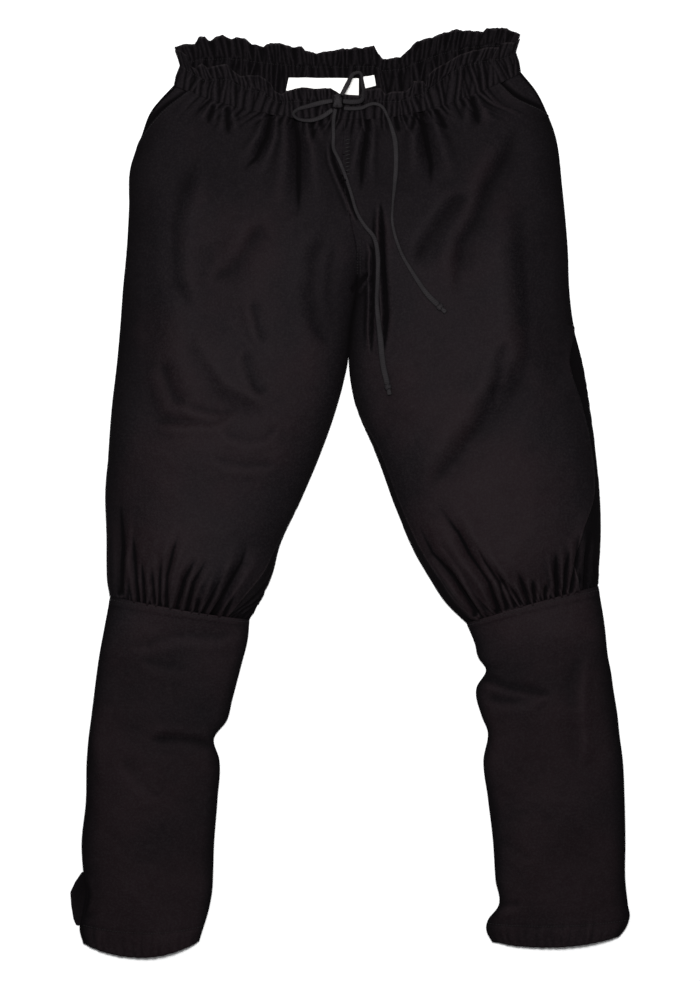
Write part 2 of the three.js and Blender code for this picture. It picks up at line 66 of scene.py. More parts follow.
class Value:
    """A number or a colour that changes over a finish. Arithmetic on a number adds Math nodes."""

    def __init__(self, tree, socket=None):
        self.tree = tree
        self.socket = socket

    def node(self, kind, settings, values, output=0):
        """Adds a node: its settings first, then the values or links of its sockets."""
        added = self.tree.nodes.new(kind)
        for setting, value in settings.items():
            setattr(added, setting, value)
        for name, value in values.items():
            if isinstance(value, Value):
                self.tree.links.new(value.socket, added.inputs[name])
            else:
                added.inputs[name].default_value = value
        return Value(self.tree, added.outputs[output] if len(added.outputs) else None)

    def math(self, operation, first, second=0.0):
        return self.node("ShaderNodeMath", {"operation": operation}, {0: first, 1: second})

    def mix(self, share, first, second):
        """Between two colours, by a share."""
        colours = [c if isinstance(c, Value) else (*c, 1) for c in (first, second)]
        return self.node(
            "ShaderNodeMix", {"data_type": "RGBA"}, {0: share, 6: colours[0], 7: colours[1]}, 2
        )

    def noise(self, scale, detail, place=None):
        """Soft noise from 0 to 1, by a place, or by the mesh's own box if none is given."""
        values = {"Scale": scale, "Detail": detail}
        if place is not None:
            values["Vector"] = place
        return self.node("ShaderNodeTexNoise", {}, values, "Fac")

    def cloth_axes(self):
        """How far a place is across the flat cloth and along it, in metres."""
        flat = self.node("ShaderNodeUVMap", {"uv_map": "cloth"}, {}, "UV")
        return [self.node("ShaderNodeSeparateXYZ", {}, {"Vector": flat}, axis) for axis in "XY"]

    def sine(self):
        return self.math("SINE", self)

    def limited(self):
        return self.node("ShaderNodeClamp", {}, {"Value": self})

    def __add__(self, other):
        return self.math("ADD", self, other)

    def __sub__(self, other):
        return self.math("SUBTRACT", self, other)

    def __rsub__(self, other):
        return self.math("SUBTRACT", other, self)

    def __mul__(self, other):
        return self.math("MULTIPLY", self, other)

    __radd__ = __add__
    __rmul__ = __mul__


def new_finish(name):
    """A new material, and the start of its expressions."""
    material = bpy.data.materials.new(name)
    material.use_nodes = True
    material.node_tree.nodes.clear()
    return material, Value(material.node_tree)


def finish_with(start, **sockets):
    """Ends a material with its shader, whose sockets are given by name with _ for each space."""
    shader = start.node(
        "ShaderNodeBsdfPrincipled",
        {},
        {name.replace("_", " "): value for name, value in sockets.items()},
    )
    start.node("ShaderNodeOutputMaterial", {}, {"Surface": shader})


# The table is a plain white sweep, so brightly lit that the shadows on it nearly vanish, as in the
# photograph. It isn't part of the trousers.
TABLE_HALF = 6000
TABLE_DROP = 0.3
table_white, start = new_finish("table_white")
mottle = start.noise(3.0, 2.0)
finish_with(
    start,
    Base_Color=start.mix(mottle, (0.7, 0.7, 0.7), (0.74, 0.74, 0.74)),
    Roughness=0.8,
    Specular_IOR_Level=0.1,
)
corners = [(-1, -1), (1, -1), (1, 1), (-1, 1)]
table_mesh = bpy.data.meshes.new("table")
table_mesh.from_pydata(
    [(x * TABLE_HALF * MM, y * TABLE_HALF * MM, -TABLE_DROP * MM) for x, y in corners],
    [],
    [(0, 1, 2, 3)],
)
table_mesh.materials.append(table_white)
table = bpy.data.objects.new("table", table_mesh)
bpy.context.scene.collection.objects.link(table)

# Studio light: a soft box beside the camera, so that cloth that faces up is the lightest, a weak
# one at the upper left that draws the folds, and a pale room all round.
ROOM_LIGHT = 0.3
SOFT_BOXES = [
    ("overhead_box", (0, 430, 2300), 520, 82),
    ("left_box", (-1700, 1300, 1700), 700, 14),
]
for name, place, side, watts in SOFT_BOXES:
    light_data = bpy.data.lights.new(name, "AREA")
    light_data.shape = "SQUARE"
    light_data.size = side * MM
    light_data.energy = watts
    light = bpy.data.objects.new(name, light_data)
    light.location = Vector(place) * MM
    light.rotation_euler = (-Vector(place)).to_track_quat("-Z", "Y").to_euler()
    bpy.context.scene.collection.objects.link(light)
room = bpy.data.worlds.new("room")
room.use_nodes = True
room.node_tree.nodes["Background"].inputs["Color"].default_value = (0.97, 0.98, 1, 1)
room.node_tree.nodes["Background"].inputs["Strength"].default_value = ROOM_LIGHT
bpy.context.scene.world = room

# Black cotton canvas, the cloth of every panel: a plain weave whose threads show only close up,
# dyed a brownish black. Each mesh's attribute of wear and painted light makes it greyer and browner
# above 0: real wear along edges, and wear with a painted highlight on crests and down the middle of
# a leg. Below 0 it is painted shade, blacker, bluer and duller, in creases, at the sides and backs,
# at the waist, on the calves and in the pocket gaps.
THREAD_PITCH = 0.75
black_cotton, start = new_finish("black_cotton")
across_cloth, along_cloth = start.cloth_axes()
turns_a_metre = 2 * math.pi / (THREAD_PITCH * MM)
over_under = (across_cloth * turns_a_metre).sine() * (along_cloth * turns_a_metre).sine()
body_place = start.node("ShaderNodeTexCoord", {}, {}, "Object")
slub = start.noise(420.0, 3.0, body_place)
fading = start.noise(9.0, 3.0, body_place)
crumple = start.noise(75.0, 4.0, body_place)
painted_light_and_wear = start.node("ShaderNodeAttribute", {"attribute_name": "wear_and_painted_light"}, {}, "Fac")
DYE_BROWN = (0.0038, 0.0020, 0.0026)
DYE_BLUE = (0.0016, 0.0013, 0.0018)
# This grey is both the slub's worn threads and a painted highlight on crests and the middles of the legs.
GREY_OF_WEAR_AND_HIGHLIGHTS = (0.012, 0.0105, 0.0112)
# This near-black is painted shade, used where the attribute is below 0.
PAINTED_SHADE_BLACK = (0.0005, 0.0005, 0.0006)
up_the_leg = start.node("ShaderNodeSeparateXYZ", {}, {"Vector": body_place}, "Y")
# Painted shade also turns the cloth bluer, through the attribute's share of the warmth.
warmth_and_painted_shade = (fading - 0.4) * 3.5 + (0.1 - up_the_leg) * 1.6 + painted_light_and_wear * 1.3
dye = start.mix(warmth_and_painted_shade.limited(), DYE_BLUE, DYE_BROWN)
dye = start.mix((slub - 0.42).limited(), dye, GREY_OF_WEAR_AND_HIGHLIGHTS)
dye = start.mix((painted_light_and_wear * -0.92).limited(), dye, PAINTED_SHADE_BLACK)
dye = start.mix((painted_light_and_wear * 0.5 * (slub + 0.5)).limited(), dye, GREY_OF_WEAR_AND_HIGHLIGHTS)
relief = over_under * 0.4 + slub * 3.2 + crumple * 4.0
woven = start.node("ShaderNodeBump", {}, {"Strength": 0.35, "Distance": 0.0003, "Height": relief})
finish_with(
    start,
    Base_Color=dye,
    Roughness=0.58 + slub * 0.12 + (painted_light_and_wear * -1).limited() * 0.36,
    Normal=woven,
    Specular_IOR_Level=0.06,
    Specular_Tint=(1, 0.83, 0.9, 1),
)

# Thighs: two wide fronts and two wide backs, gathered into the knee seams and into the waist. A row
# is a section across the leg, from the waist seam down: its outer and inner ends, how far it bows
# down, how much higher the back lies at its inner end, the height of the front, how far the inner
# end closes, and the front's outer edge, the side seam and the inseam as shares of the half width.
THIGH_ROWS = {
    "right": [
        (-204, 472, -6, 431, 12, 35, 18, 0.35, 0.82, 1, 1),
        (-229, 444, -7, 414, 7, 31, 22, 0.45, 0.885, 1, 1),
        (-242, 412, -9, 389, 3, 26, 25, 0.55, 0.985, 1, 1),
        (-254, 378, -8, 362, 0, 20, 27, 0.65, 1, 1, 1),
        (-256, 328, -1, 322, 0, 12, 28, 0.78, 1, 1, 1),
        (-259, 276, 8, 276, 0, 5, 28, 0.92, 1, 1, 1),
        (-263, 235, 8, 237, 0, 0, 28, 1, 1, 1, 1),
        (-266, 194, 2, 194, 0, 0, 28, 1, 1, 1, 1),
        (-270, 150, -3, 151, 0, 0, 29, 1, 1, 1, 1),
        (-276, 98, -16, 98, 0, 0, 30, 1, 1, 1, 1),
        (-280, 44, -35, 44, 0, 0, 31, 1, 1, 1, 1),
        (-283, -14, -61, -17, 0, 0, 32, 1, 0.99, 1, 1),
        (-282, -55, -81, -61, 0, 0, 32, 1, 0.975, 1, 0.97),
        (-282, -84, -90, -95, 0, 0, 31, 1, 0.97, 1, 0.88),
        (-281, -106, -103, -125, 1, 0, 26, 1, 0.97, 1, 0.76),
        (-278, -122, -117, -149, 2, 0, 18, 1, 0.97, 1, 0.68),
    ],
    "left": [
        (198, 487, -6, 431, 15, 35, 18, 0.35, 0.75, 1, 1),
        (215, 466, -7, 414, 9, 31, 22, 0.45, 0.775, 1, 1),
        (229, 438, -9, 389, 5, 26, 25, 0.55, 0.99, 1, 1),
        (238, 413, -8, 362, 2, 20, 27, 0.65, 1, 1, 1),
        (246, 352, -1, 322, 0, 12, 28, 0.78, 1, 1, 1),
        (252, 284, 8, 276, 0, 5, 28, 0.92, 1, 1, 1),
        (254, 235, 8, 237, 0, 0, 28, 1, 1, 1, 1),
        (259, 194, 2, 194, 0, 0, 28, 1, 1, 1, 1),
        (270, 150, -1, 151, 0, 0, 29, 1, 0.88, 0.88, 1),
        (278, 102, 7, 100, 0, 0, 30, 1, 0.92, 0.92, 1),
        (285, 49, 29, 47, 0, 0, 31, 1, 0.95, 0.95, 0.955),
        (290, -6, 53, -18, 0, 0, 32, 1, 0.92, 0.92, 0.945),
        (291, -44, 74, -68, 0, 0, 32, 1, 0.78, 0.78, 0.92),
        (290, -74, 92, -99, 0, 0, 31, 1, 0.7, 0.7, 0.9),
        (289, -95, 111, -128, -2, 0, 26, 1, 0.7, 0.7, 0.885),
        (288, -111, 136, -153, -2, 0, 18, 1, 0.72, 0.72, 0.87),
    ],
}
# Folds in the thighs' fronts: the points along each one, its half width and its depth. Its steep
# side is on the right of its line. A depth below 0 is a ridge.
THIGH_FOLDS = [
    ([(-176, 202), (-186, 216), (-203, 241), (-205, 276), (-205, 311), (-197, 344), (-175, 393)], 12, 4.5),
    ([(-96, 316), (-117, 276), (-134, 256), (-162, 240)], 10, 3),
    ([(-114, 226), (-104, 196), (-97, 168)], 6, 2.2),
    ([(-120, 168), (-116, 146), (-106, 122), (-92, 112)], 7, 2.4),
    ([(-181, 194), (-161, 154), (-142, 126), (-108, 107), (-84, 92)], 11, -3),
    ([(-205, 112), (-178, 98), (-150, 93), (-125, 96)], 6, 1.8),
    ([(-232, 84), (-193, 82), (-160, 82), (-130, 90)], 6, 2.2),
    ([(-150, 76), (-134, 66), (-115, 61), (-98, 64), (-80, 80)], 6, 1.2),
    ([(-160, 42), (-140, 35), (-118, 32), (-80, 33)], 6, 1.2),
    ([(-24, 312), (-38, 268), (-42, 227), (-33, 188), (-16, 160)], 12, 2.6),
    ([(-14, 296), (-21, 260), (-22, 223), (-18, 190)], 7, 1.1),
    ([(-218, 154), (-205, 117), (-193, 92)], 9, 3),
    ([(197, 432), (186, 392), (164, 351), (150, 313), (135, 289), (128, 254), (119, 220)], 12, 5),
    ([(140, 352), (111, 314), (90, 282), (72, 256)], 11, 4.5),
    ([(200, 345), (205, 242), (208, 159), (194, 118), (168, 82), (140, 46)], 17, 6),
    ([(172, 130), (150, 74), (124, 38), (86, 0)], 14, 4.2),
    ([(181, 179), (173, 132), (165, 100)], 10, 3.5),
    ([(-214, 40), (-236, 140), (-238, 300), (-228, 380)], 26, 5),
    ([(236, 330), (232, 230), (240, 110)], 24, 5),
]
# Narrow creases: those that the long end of the drawstring lies beside, and one out of the crotch
TIGHT_CREASES = [
    ([(-24, 408), (-21, 394), (-18, 381), (-12.5, 367), (-6, 352), (3, 330), (10, 308)], 2.6, 2.6),
    ([(35, 338), (36.5, 298), (37.5, 267), (39.5, 237), (41, 207), (39, 160)], 2.7, 6),
    ([(20, 292), (25.5, 278), (25.5, 250), (25, 231), (24, 195), (24, 158)], 1.9, 4),
    ([(2, 230), (8, 238), (14, 246), (22, 254)], 2.6, 6),
]
# The larger creases of the gathers, from where each fades out up to the waist seam
WAIST_FOLDS = [
    ([(-126, 367), (-108, 386), (-96, 411), (-91, 438)], 7, 7),
    ([(-63, 306), (-59, 331), (-59, 366), (-59, 400), (-63, 434)], 12, 8),
    ([(-42, 400), (-44, 433)], 5, 4),
    ([(-141, 410), (-141, 442)], 5, 4),
    ([(-166, 424), (-158, 446)], 4, 3),
    ([(12, 340), (14, 380), (19, 409), (21, 434)], 6, 5.5),
    ([(93, 346), (93, 380), (88, 409), (82, 437)], 11, 8),
    ([(57, 414), (52, 435)], 4, 4),
    ([(70, 412), (75, 436)], 4, 4),
    ([(114, 418), (100, 440)], 5, 4),
    ([(150, 420), (142, 455)], 7, 5),
]
# The creases of the gathers above the knee seams, from where each fades out down to the seam
KNEE_FOLDS = [
    ([(-266, -2), (-264, -62), (-266, -116)], 6, 5),
    ([(-252, -40), (-247, -97), (-245, -127)], 5, 4),
    ([(-241, -68), (-238, -128)], 4, 4.5),
    ([(-228, -82), (-226, -128)], 3.5, 4),
    ([(-215, -66), (-219, -97), (-220, -131)], 5, 5),
    ([(-194, -40), (-203, -66), (-211, -97), (-213, -133)], 5, 5),
    ([(-174, -70), (-190, -100), (-201, -136)], 5, 6),
    ([(-162, -72), (-180, -104), (-189, -139)], 4.5, 5),
    ([(-173, -118), (-179, -143)], 3, 4),
    ([(-143, -86), (-159, -120), (-171, -144)], 5, 5),
    ([(-116, -50), (-125, -81), (-144, -115), (-161, -148)], 7, 7),
    ([(-132, -116), (-148, -148)], 4, 5),
    ([(74, -26), (95, -70), (118, -97), (145, -141)], 6, 4.5),
    ([(99, -74), (125, -108), (152, -145)], 4.5, 4.5),
    ([(97, -8), (125, -47), (137, -70), (160, -104), (172, -137)], 8, 7),
    ([(136, -46), (156, -81), (172, -104), (181, -134)], 6, 6),
    ([(163, -83), (179, -108), (191, -131)], 4.5, 5),
    ([(181, -102), (197, -129)], 3.5, 4.5),
    ([(192, -88), (207, -129)], 4.5, 5.5),
    ([(210, -98), (214, -128)], 3.5, 4.5),
    ([(226, -104), (226, -124)], 3, 4),
    ([(237, -64), (240, -122)], 4.5, 6),
    ([(253, -60), (248, -118)], 4.5, 6),
    ([(264, -42), (260, -85), (256, -114)], 4.5, 5.5),
    ([(276, -38), (274, -110)], 4, 5),
]
BACK_FOLDS = [
    ([(-70, 398), (-84, 330)], 11, 5),
    ([(64, 396), (78, 318)], 11, 5),
    ([(-226, 300), (-222, 250), (-214, 196)], 12, 4),
    ([(214, 318), (210, 260), (200, 204)], 12, 4),
    ([(-140, 250), (-110, 190), (-60, 150)], 11, 4),
    ([(120, 262), (96, 190), (60, 150)], 11, 4),
    ([(-118, -34), (-150, -118)], 12, 6),
    ([(-232, -40), (-226, -104)], 12, 5),
    ([(128, -40), (160, -118)], 12, 6),
    ([(242, -30), (236, -92)], 12, 5),
    ([(-244, -300), (-190, -330)], 12, 3),
    ([(214, -306), (262, -334)], 12, 3),
]
CLOTH = 1.0
FRONT_PITCH = 1.5
ROW_PITCH = 2.1
FINER = 0.65
FINE_REACH = 50
FINE_PLACES = 2000
RUMPLE_CELLS = 97
INSIDE_STEP = 3
BACK_PITCH = 2.0
CALF_BACK_PITCH = 2.6
INNER_SQUARENESS = 2.9
OUTER_SQUARENESS = 1.75
SIDE_POWER = 0.6
SIDE_HEIGHT = 5
SIDE_SHARE = 0.4
FLAT_SHARE = 0.6
LIFT_CURVE = 1.5


def eased(value):
    """0 below 0, 1 above 1, and an S between them."""
    value = np.clip(value, 0, 1)
    return value * value * (3 - 2 * value)


def smooth_rows(rows, pitch, finer=1.0):
    """Sections down the leg on a curve through the given ones, and their places. They are a pitch
    apart, and closer by a factor beside the seams at the two ends."""
    rows = np.array(rows, float)
    middles = (rows[:, 0:2] + rows[:, 2:4]) / 2
    knots = np.concatenate([[0], np.cumsum(np.linalg.norm(np.diff(middles, axis=0), axis=1))])
    slopes = np.gradient(rows, knots, axis=0)
    fine = np.linspace(0, knots[-1], FINE_PLACES)
    from_end = np.minimum(fine, knots[-1] - fine)
    close = finer + (1 - finer) * eased((from_end - FINE_REACH) / FINE_REACH)
    counted = np.concatenate([[0], np.cumsum(1 / close[1:])])
    count = math.ceil(knots[-1] / pitch * counted[-1] / (FINE_PLACES - 1)) + 1
    places = np.interp(np.linspace(0, counted[-1], count), counted, fine)
    after = np.clip(np.searchsorted(knots, places, side="right"), 1, len(knots) - 1)
    before = after - 1
    span = (knots[after] - knots[before])[:, None]
    t = (places - knots[before])[:, None] / span
    smooth = (
        rows[before] * (1 + 2 * t) * (1 - t) ** 2
        + slopes[before] * span * t * (1 - t) ** 2
        + rows[after] * t**2 * (3 - 2 * t)
        + slopes[after] * span * t**2 * (t - 1)
    )
    smooth[:, 7:] = np.minimum(smooth[:, 7:], 1)
    return smooth, places


def on_leg(rows, angle):
    """Points of a leg's plain form, and how near each is to the middle of the cloth. The angle is 0
    at the inner end, a quarter turn on top, half a turn at the outer end, and back underneath."""
    outer_x, outer_y, inner_x, inner_y, sag, lift, rise, closed = (
        rows[:, column, None] for column in range(8)
    )
    across = np.cos(angle)
    closing = np.where(across > 0, across * closed, -across)
    squareness = np.where(across > 0, INNER_SQUARENESS, OUTER_SQUARENESS)
    roundness = np.maximum(0, 1 - closing**squareness) ** SIDE_POWER
    share = (1 + across) / 2
    under = np.sin(angle) < 0
    side = np.minimum(SIDE_HEIGHT, SIDE_SHARE * rise)
    x = outer_x + (inner_x - outer_x) * share
    y = outer_y + (inner_y - outer_y) * share - sag * (1 - across**2)
    y = y + np.where(under, lift * share**LIFT_CURVE, 0)
    bend = np.maximum(0, (closing - FLAT_SHARE) / (1 - FLAT_SHARE)) ** 2
    z = np.where(under, side * bend, side + (rise - side) * roundness)
    return np.stack([x, y, z], axis=-1), roundness


def lengths_along(points, axis):
    """How far each point is along its line of the grid."""
    steps = np.linalg.norm(np.diff(points, axis=axis), axis=-1)
    none = np.zeros_like(np.take(steps, [0], axis=axis))
    return np.concatenate([none, np.cumsum(steps, axis=axis)], axis=axis)


def even_angles(rows, first, last, columns):
    """Angles round each section from first to last that share out its length evenly."""
    angle = first[:, None] + (last - first)[:, None] * np.linspace(0, 1, 500)
    lengths = lengths_along(on_leg(rows, angle)[0], 1)
    shares = np.linspace(0, 1, columns)
    return np.array([np.interp(shares * far[-1], far, turn) for far, turn in zip(lengths, angle)])


RIDGE_SHARE = 0.5  # of a fold's depth, that the cloth stands up beside its steep side
FOLD_TAPER = 0.24


def fold_depth(x, y, folds, sewn=False):
    """How deep the folds are at each place. They fade and narrow to their ends. A fold that is sewn
    at its last end is a crease instead, which is sharpest there."""
    depth = np.zeros_like(x)
    for line, half_width, deep in folds:
        line = np.array(line, float)
        steps = np.linalg.norm(np.diff(line, axis=0), axis=1)
        starts = np.concatenate([[0], np.cumsum(steps)])
        nearest = np.full_like(x, np.inf)
        reached = np.zeros_like(x)
        right = np.zeros_like(x)
        for a, b, step, start_at in zip(line, line[1:], steps, starts):
            way = (b - a) / step
            along = np.clip((x - a[0]) * way[0] + (y - a[1]) * way[1], 0, step)
            away = np.hypot(x - a[0] - along * way[0], y - a[1] - along * way[1])
            closer = away < nearest
            nearest = np.where(closer, away, nearest)
            reached = np.where(closer, start_at + along, reached)
            right = np.where(closer, (x - a[0]) * way[1] - (y - a[1]) * way[0], right)
        share = reached / starts[-1]
        if sewn:
            fade = eased(share / 0.6)
            off = nearest / (half_width * (1.1 - 0.6 * share))
            trough = np.exp(-1.2 * off**1.25)
            ridge = 0.6 * np.exp(-(((off - 1.9) / 0.9) ** 2))
        else:
            fade = eased(share / FOLD_TAPER) * eased((1 - share) / FOLD_TAPER)
            off = np.where(right > 0, nearest, -nearest) / (half_width * (0.6 + 0.4 * fade))
            trough = np.where(off > 0, np.exp(-((off / 0.85) ** 2)), np.exp(-(np.abs(off / 1.3) ** 1.5)))
            ridge = np.exp(-((off - 1.75) ** 2))
        depth += deep * fade * (trough - RIDGE_SHARE * ridge)
    return depth


def rumple(x, y, size, seed):
    """Soft uneven bumps and hollows over the cloth, of about a size, up to 1 high."""
    heights = np.random.default_rng(seed).uniform(-1, 1, (RUMPLE_CELLS, RUMPLE_CELLS))
    i, j = np.floor(x / size).astype(int), np.floor(y / size).astype(int)
    s, t = eased(x / size - i), eased(y / size - j)
    i, j, i_next, j_next = (cell % RUMPLE_CELLS for cell in (i, j, i + 1, j + 1))
    upper = heights[i, j] * (1 - s) + heights[i_next, j] * s
    lower = heights[i, j_next] * (1 - s) + heights[i_next, j_next] * s
    return upper * (1 - t) + lower * t


def gathers(across, from_seam, width, pitch, deep, long, seed):
    """Height of the uneven gathers beside a seam. Each is a ridge of its own width, height and
    length, between sharp valleys that lean a little."""
    draw = random.Random(seed)
    height = np.zeros_like(across)
    place = 0
    while place < width:
        breadth = pitch * draw.uniform(0.6, 1.5)
        crest = deep * draw.uniform(0.35, 1.1)
        reach = long * draw.uniform(0.4, 1.3)
        lean = draw.uniform(-0.12, 0.12)
        inside = (across - place - lean * from_seam) / breadth
        ridge = np.where((inside > 0) & (inside < 1), np.sin(np.pi * np.clip(inside, 0, 1)), 0)
        height += crest * ridge**0.8 * np.exp(-((from_seam / reach) ** 2))
        place += breadth
    return height


def face_normals(grid, up):
    """Unit normals of a grid of points, mostly up (1) or mostly down (-1)."""
    normals = np.cross(np.gradient(grid, axis=1), np.gradient(grid, axis=0))
    normals /= np.maximum(np.linalg.norm(normals, axis=-1, keepdims=True), 1e-9)
    return normals * (up if normals[..., 2].mean() > 0 else -up)


def halved(quads):
    """Four-cornered faces as triangles."""
    return np.concatenate([quads[:, [0, 1, 2]], quads[:, [0, 2, 3]]])


def grid_faces(index):
    """The triangles between the points of a grid, and the points round its rim in order."""
    quads = np.stack([index[:-1, :-1], index[:-1, 1:], index[1:, 1:], index[1:, :-1]], -1)
    rim = np.concatenate([index[0, :-1], index[:-1, -1], index[-1, :0:-1], index[:0:-1, 0]])
    return halved(quads.reshape(-1, 4)), rim


def shell(name, outer, inner, uv, wear_and_painted_light, step=1):
    """A closed piece of cloth between two grids of points, with a rounded edge all round. The side
    that is hidden may use only each step-th row and column."""
    rows, columns = outer.shape[:2]
    index = np.arange(rows * columns).reshape(rows, columns)
    outer_faces, rim = grid_faces(index)
    row, column = np.divmod(rim, columns)
    inside = index[np.clip(row, 1, rows - 2), np.clip(column, 1, columns - 2)]
    kept_rows = np.unique([*range(0, rows, step), rows - 1])
    kept_columns = np.unique([*range(0, columns, step), columns - 1])
    kept = index[np.ix_(kept_rows, kept_columns)]
    outer, inner, uv, wear_and_painted_light = (a.reshape(rows * columns, -1) for a in (outer, inner, uv, wear_and_painted_light))
    middle = (outer[rim] + inner[rim]) / 2
    out = middle - (outer[inside] + inner[inside]) / 2
    out /= np.maximum(np.linalg.norm(out, axis=1, keepdims=True), 1e-9)
    middle += out * np.linalg.norm(outer[rim] - inner[rim], axis=1, keepdims=True) * 0.4
    count = rows * columns
    hem = count + np.arange(len(rim))
    next_rim, next_hem = np.roll(rim, -1), np.roll(hem, -1)
    first = count + len(rim)
    inner_faces, inner_rim = grid_faces(first + np.arange(kept.size).reshape(kept.shape))
    place_in_rim = {point: place for place, point in enumerate(rim)}
    reached = [place_in_rim[kept.ravel()[point - first]] for point in inner_rim] + [len(rim)]
    lining = []
    for a, b, start_at, stop_at in zip(inner_rim, np.roll(inner_rim, -1), reached, reached[1:]):
        halfway = (start_at + stop_at + 1) // 2
        for place in range(start_at, stop_at):
            lining.append((next_hem[place], hem[place], a if place < halfway else b))
        lining.append((hem[halfway % len(rim)], a, b))
    triangles = np.concatenate([
        outer_faces,
        inner_faces[:, ::-1],
        halved(np.stack([next_rim, rim, hem, next_hem], -1)),
        np.array(lining),
    ])
    kept = kept.ravel()
    return cloth_mesh(
        name,
        np.concatenate([outer, middle, inner[kept]]),
        triangles,
        np.concatenate([uv, uv[rim], uv[kept]]),
        np.concatenate([wear_and_painted_light, wear_and_painted_light[rim], wear_and_painted_light[kept]])[:, 0],
    )


def cloth_mesh(name, places, triangles, uv, wear_and_painted_light):
    """An object of triangles that face out, with its cloth coordinates and its attribute of wear and
    painted light.
    """
    a, b, c = (places[triangles[:, corner]] for corner in range(3))
    if np.einsum("ij,ij->", a, np.cross(b, c)) < 0:
        triangles = triangles[:, ::-1]
    mesh = bpy.data.meshes.new(name)
    mesh.from_pydata((places * MM).tolist(), [], triangles.tolist())
    mesh.polygons.foreach_set("use_smooth", np.ones(len(triangles), bool))
    corners = np.empty(len(mesh.loops), np.int32)
    mesh.loops.foreach_get("vertex_index", corners)
    mesh.uv_layers.new(name="cloth").data.foreach_set("uv", (uv[corners] * MM).ravel())
    mesh.attributes.new("wear_and_painted_light", "FLOAT", "POINT").data.foreach_set("value", wear_and_painted_light)
    mesh.update()
    piece = bpy.data.objects.new(name, mesh)
    bpy.context.scene.collection.objects.link(piece)
    return piece


def dress(piece, finish, slot, *nodes):
    """A piece takes its finish, rides on the trousers and stands for its nodes."""
    piece.data.materials.append(finish)
    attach(piece, "root")
    if nodes:
        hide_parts(*nodes)


WAIST_PITCH = 7.0
WAIST_DEEP = 3.0
WAIST_SEEDS = {True: 61, False: 87}


def waist_pleats(x, up, front):
    """Height of the pleats that the drawstring draws up, by place along the waist seam and how far
    above the seam. They cross the casing, lean together, and run out in the thighs."""
    draw = random.Random(WAIST_SEEDS[front])
    height = np.zeros_like(x + up)
    place = -222
    while place < 222:
        breadth = WAIST_PITCH * draw.uniform(0.5, 1.7)
        crest = WAIST_DEEP * draw.uniform(0.45, 1.2)
        reach = draw.uniform(8, 28)
        lean = draw.uniform(-0.28, 0.28)
        inside = np.clip((x - place - lean * up) / breadth, 0, 1)
        fade = np.where(up < 0, np.exp(-((up / reach) ** 2)), 1)
        height = np.maximum(height, crest * fade * np.sin(np.pi * inside) ** 0.8)
        place += breadth * 0.9
    return height


SEAM_TUCK = 1.4
TUCK_REACH = 5
POCKET_LIFT = 2.2
UNDER_SINK = 2.0
INSEAM_HOLD = 8
KNEE_STRIP = 1.6
CROTCH_TOP, CROTCH_FOOT = 256, 160
STRIP_TOP = -40
STRIP_GATHERS = (3.4, 1, 70, 7)
CALF_TOP = -150
FRONT_RUMPLES = [(2.2, 52, 3), (0.45, 21, 5), (0.2, 7, 6)]
BACK_RUMPLE = (0.8, 40, 11)
VALLEY_PAINTED_SHADE = 0.95
CREST_WEAR_AND_HIGHLIGHT = 0.32
CREST_AND_VALLEY_REACH = (3, 0.55)
FREE_FOLD_SHARE = 0.25
HEIGHT_WEAR_AND_PAINTED_LIGHT = 0.12
SIDE_PAINTED_SHADE, SIDE_FROM = 0.8, 0.66
BACK_PAINTED_SHADE = 0.6
CROTCH_PAINTED_SHADE, CROTCH_WIDTH = 1.4, 2.8
MIDDLE_WEAR_AND_HIGHLIGHT, MIDDLE_LEVEL = 0.34, 0.48
WAIST_PAINTED_SHADE = 0.2
CALF_PAINTED_SHADE = 0.2
EDGE_WEAR = 1.6
CREST_HEIGHT = 3.0
FELL_HEIGHT = 0.6
HEM_DEPTH = 20
HEM_PITCH = 9
HEM_PUCKER = 1.1
HEM_GROOVE = 0.4
faces = {}


def neighbours(height, step):
    """The heights of the grid shifted by up to so many places each way."""
    rows, columns = height.shape
    spread = np.pad(height, step, mode="edge")
    return [
        spread[row : row + rows, column : column + columns]
        for row in range(2 * step + 1)
        for column in range(2 * step + 1)
    ]


def crest_wear_and_valley_shade(height, step, deep):
    """Wear with a painted highlight on the crests (above 0) and painted shade in the valleys (below 0),
    by how far the cloth stands out from what is round it."""
    stands = (height - np.mean(neighbours(height, step), axis=0)) / deep
    return np.clip(stands, -1, 0) * VALLEY_PAINTED_SHADE + np.clip(stands, 0, 1) * CREST_WEAR_AND_HIGHLIGHT


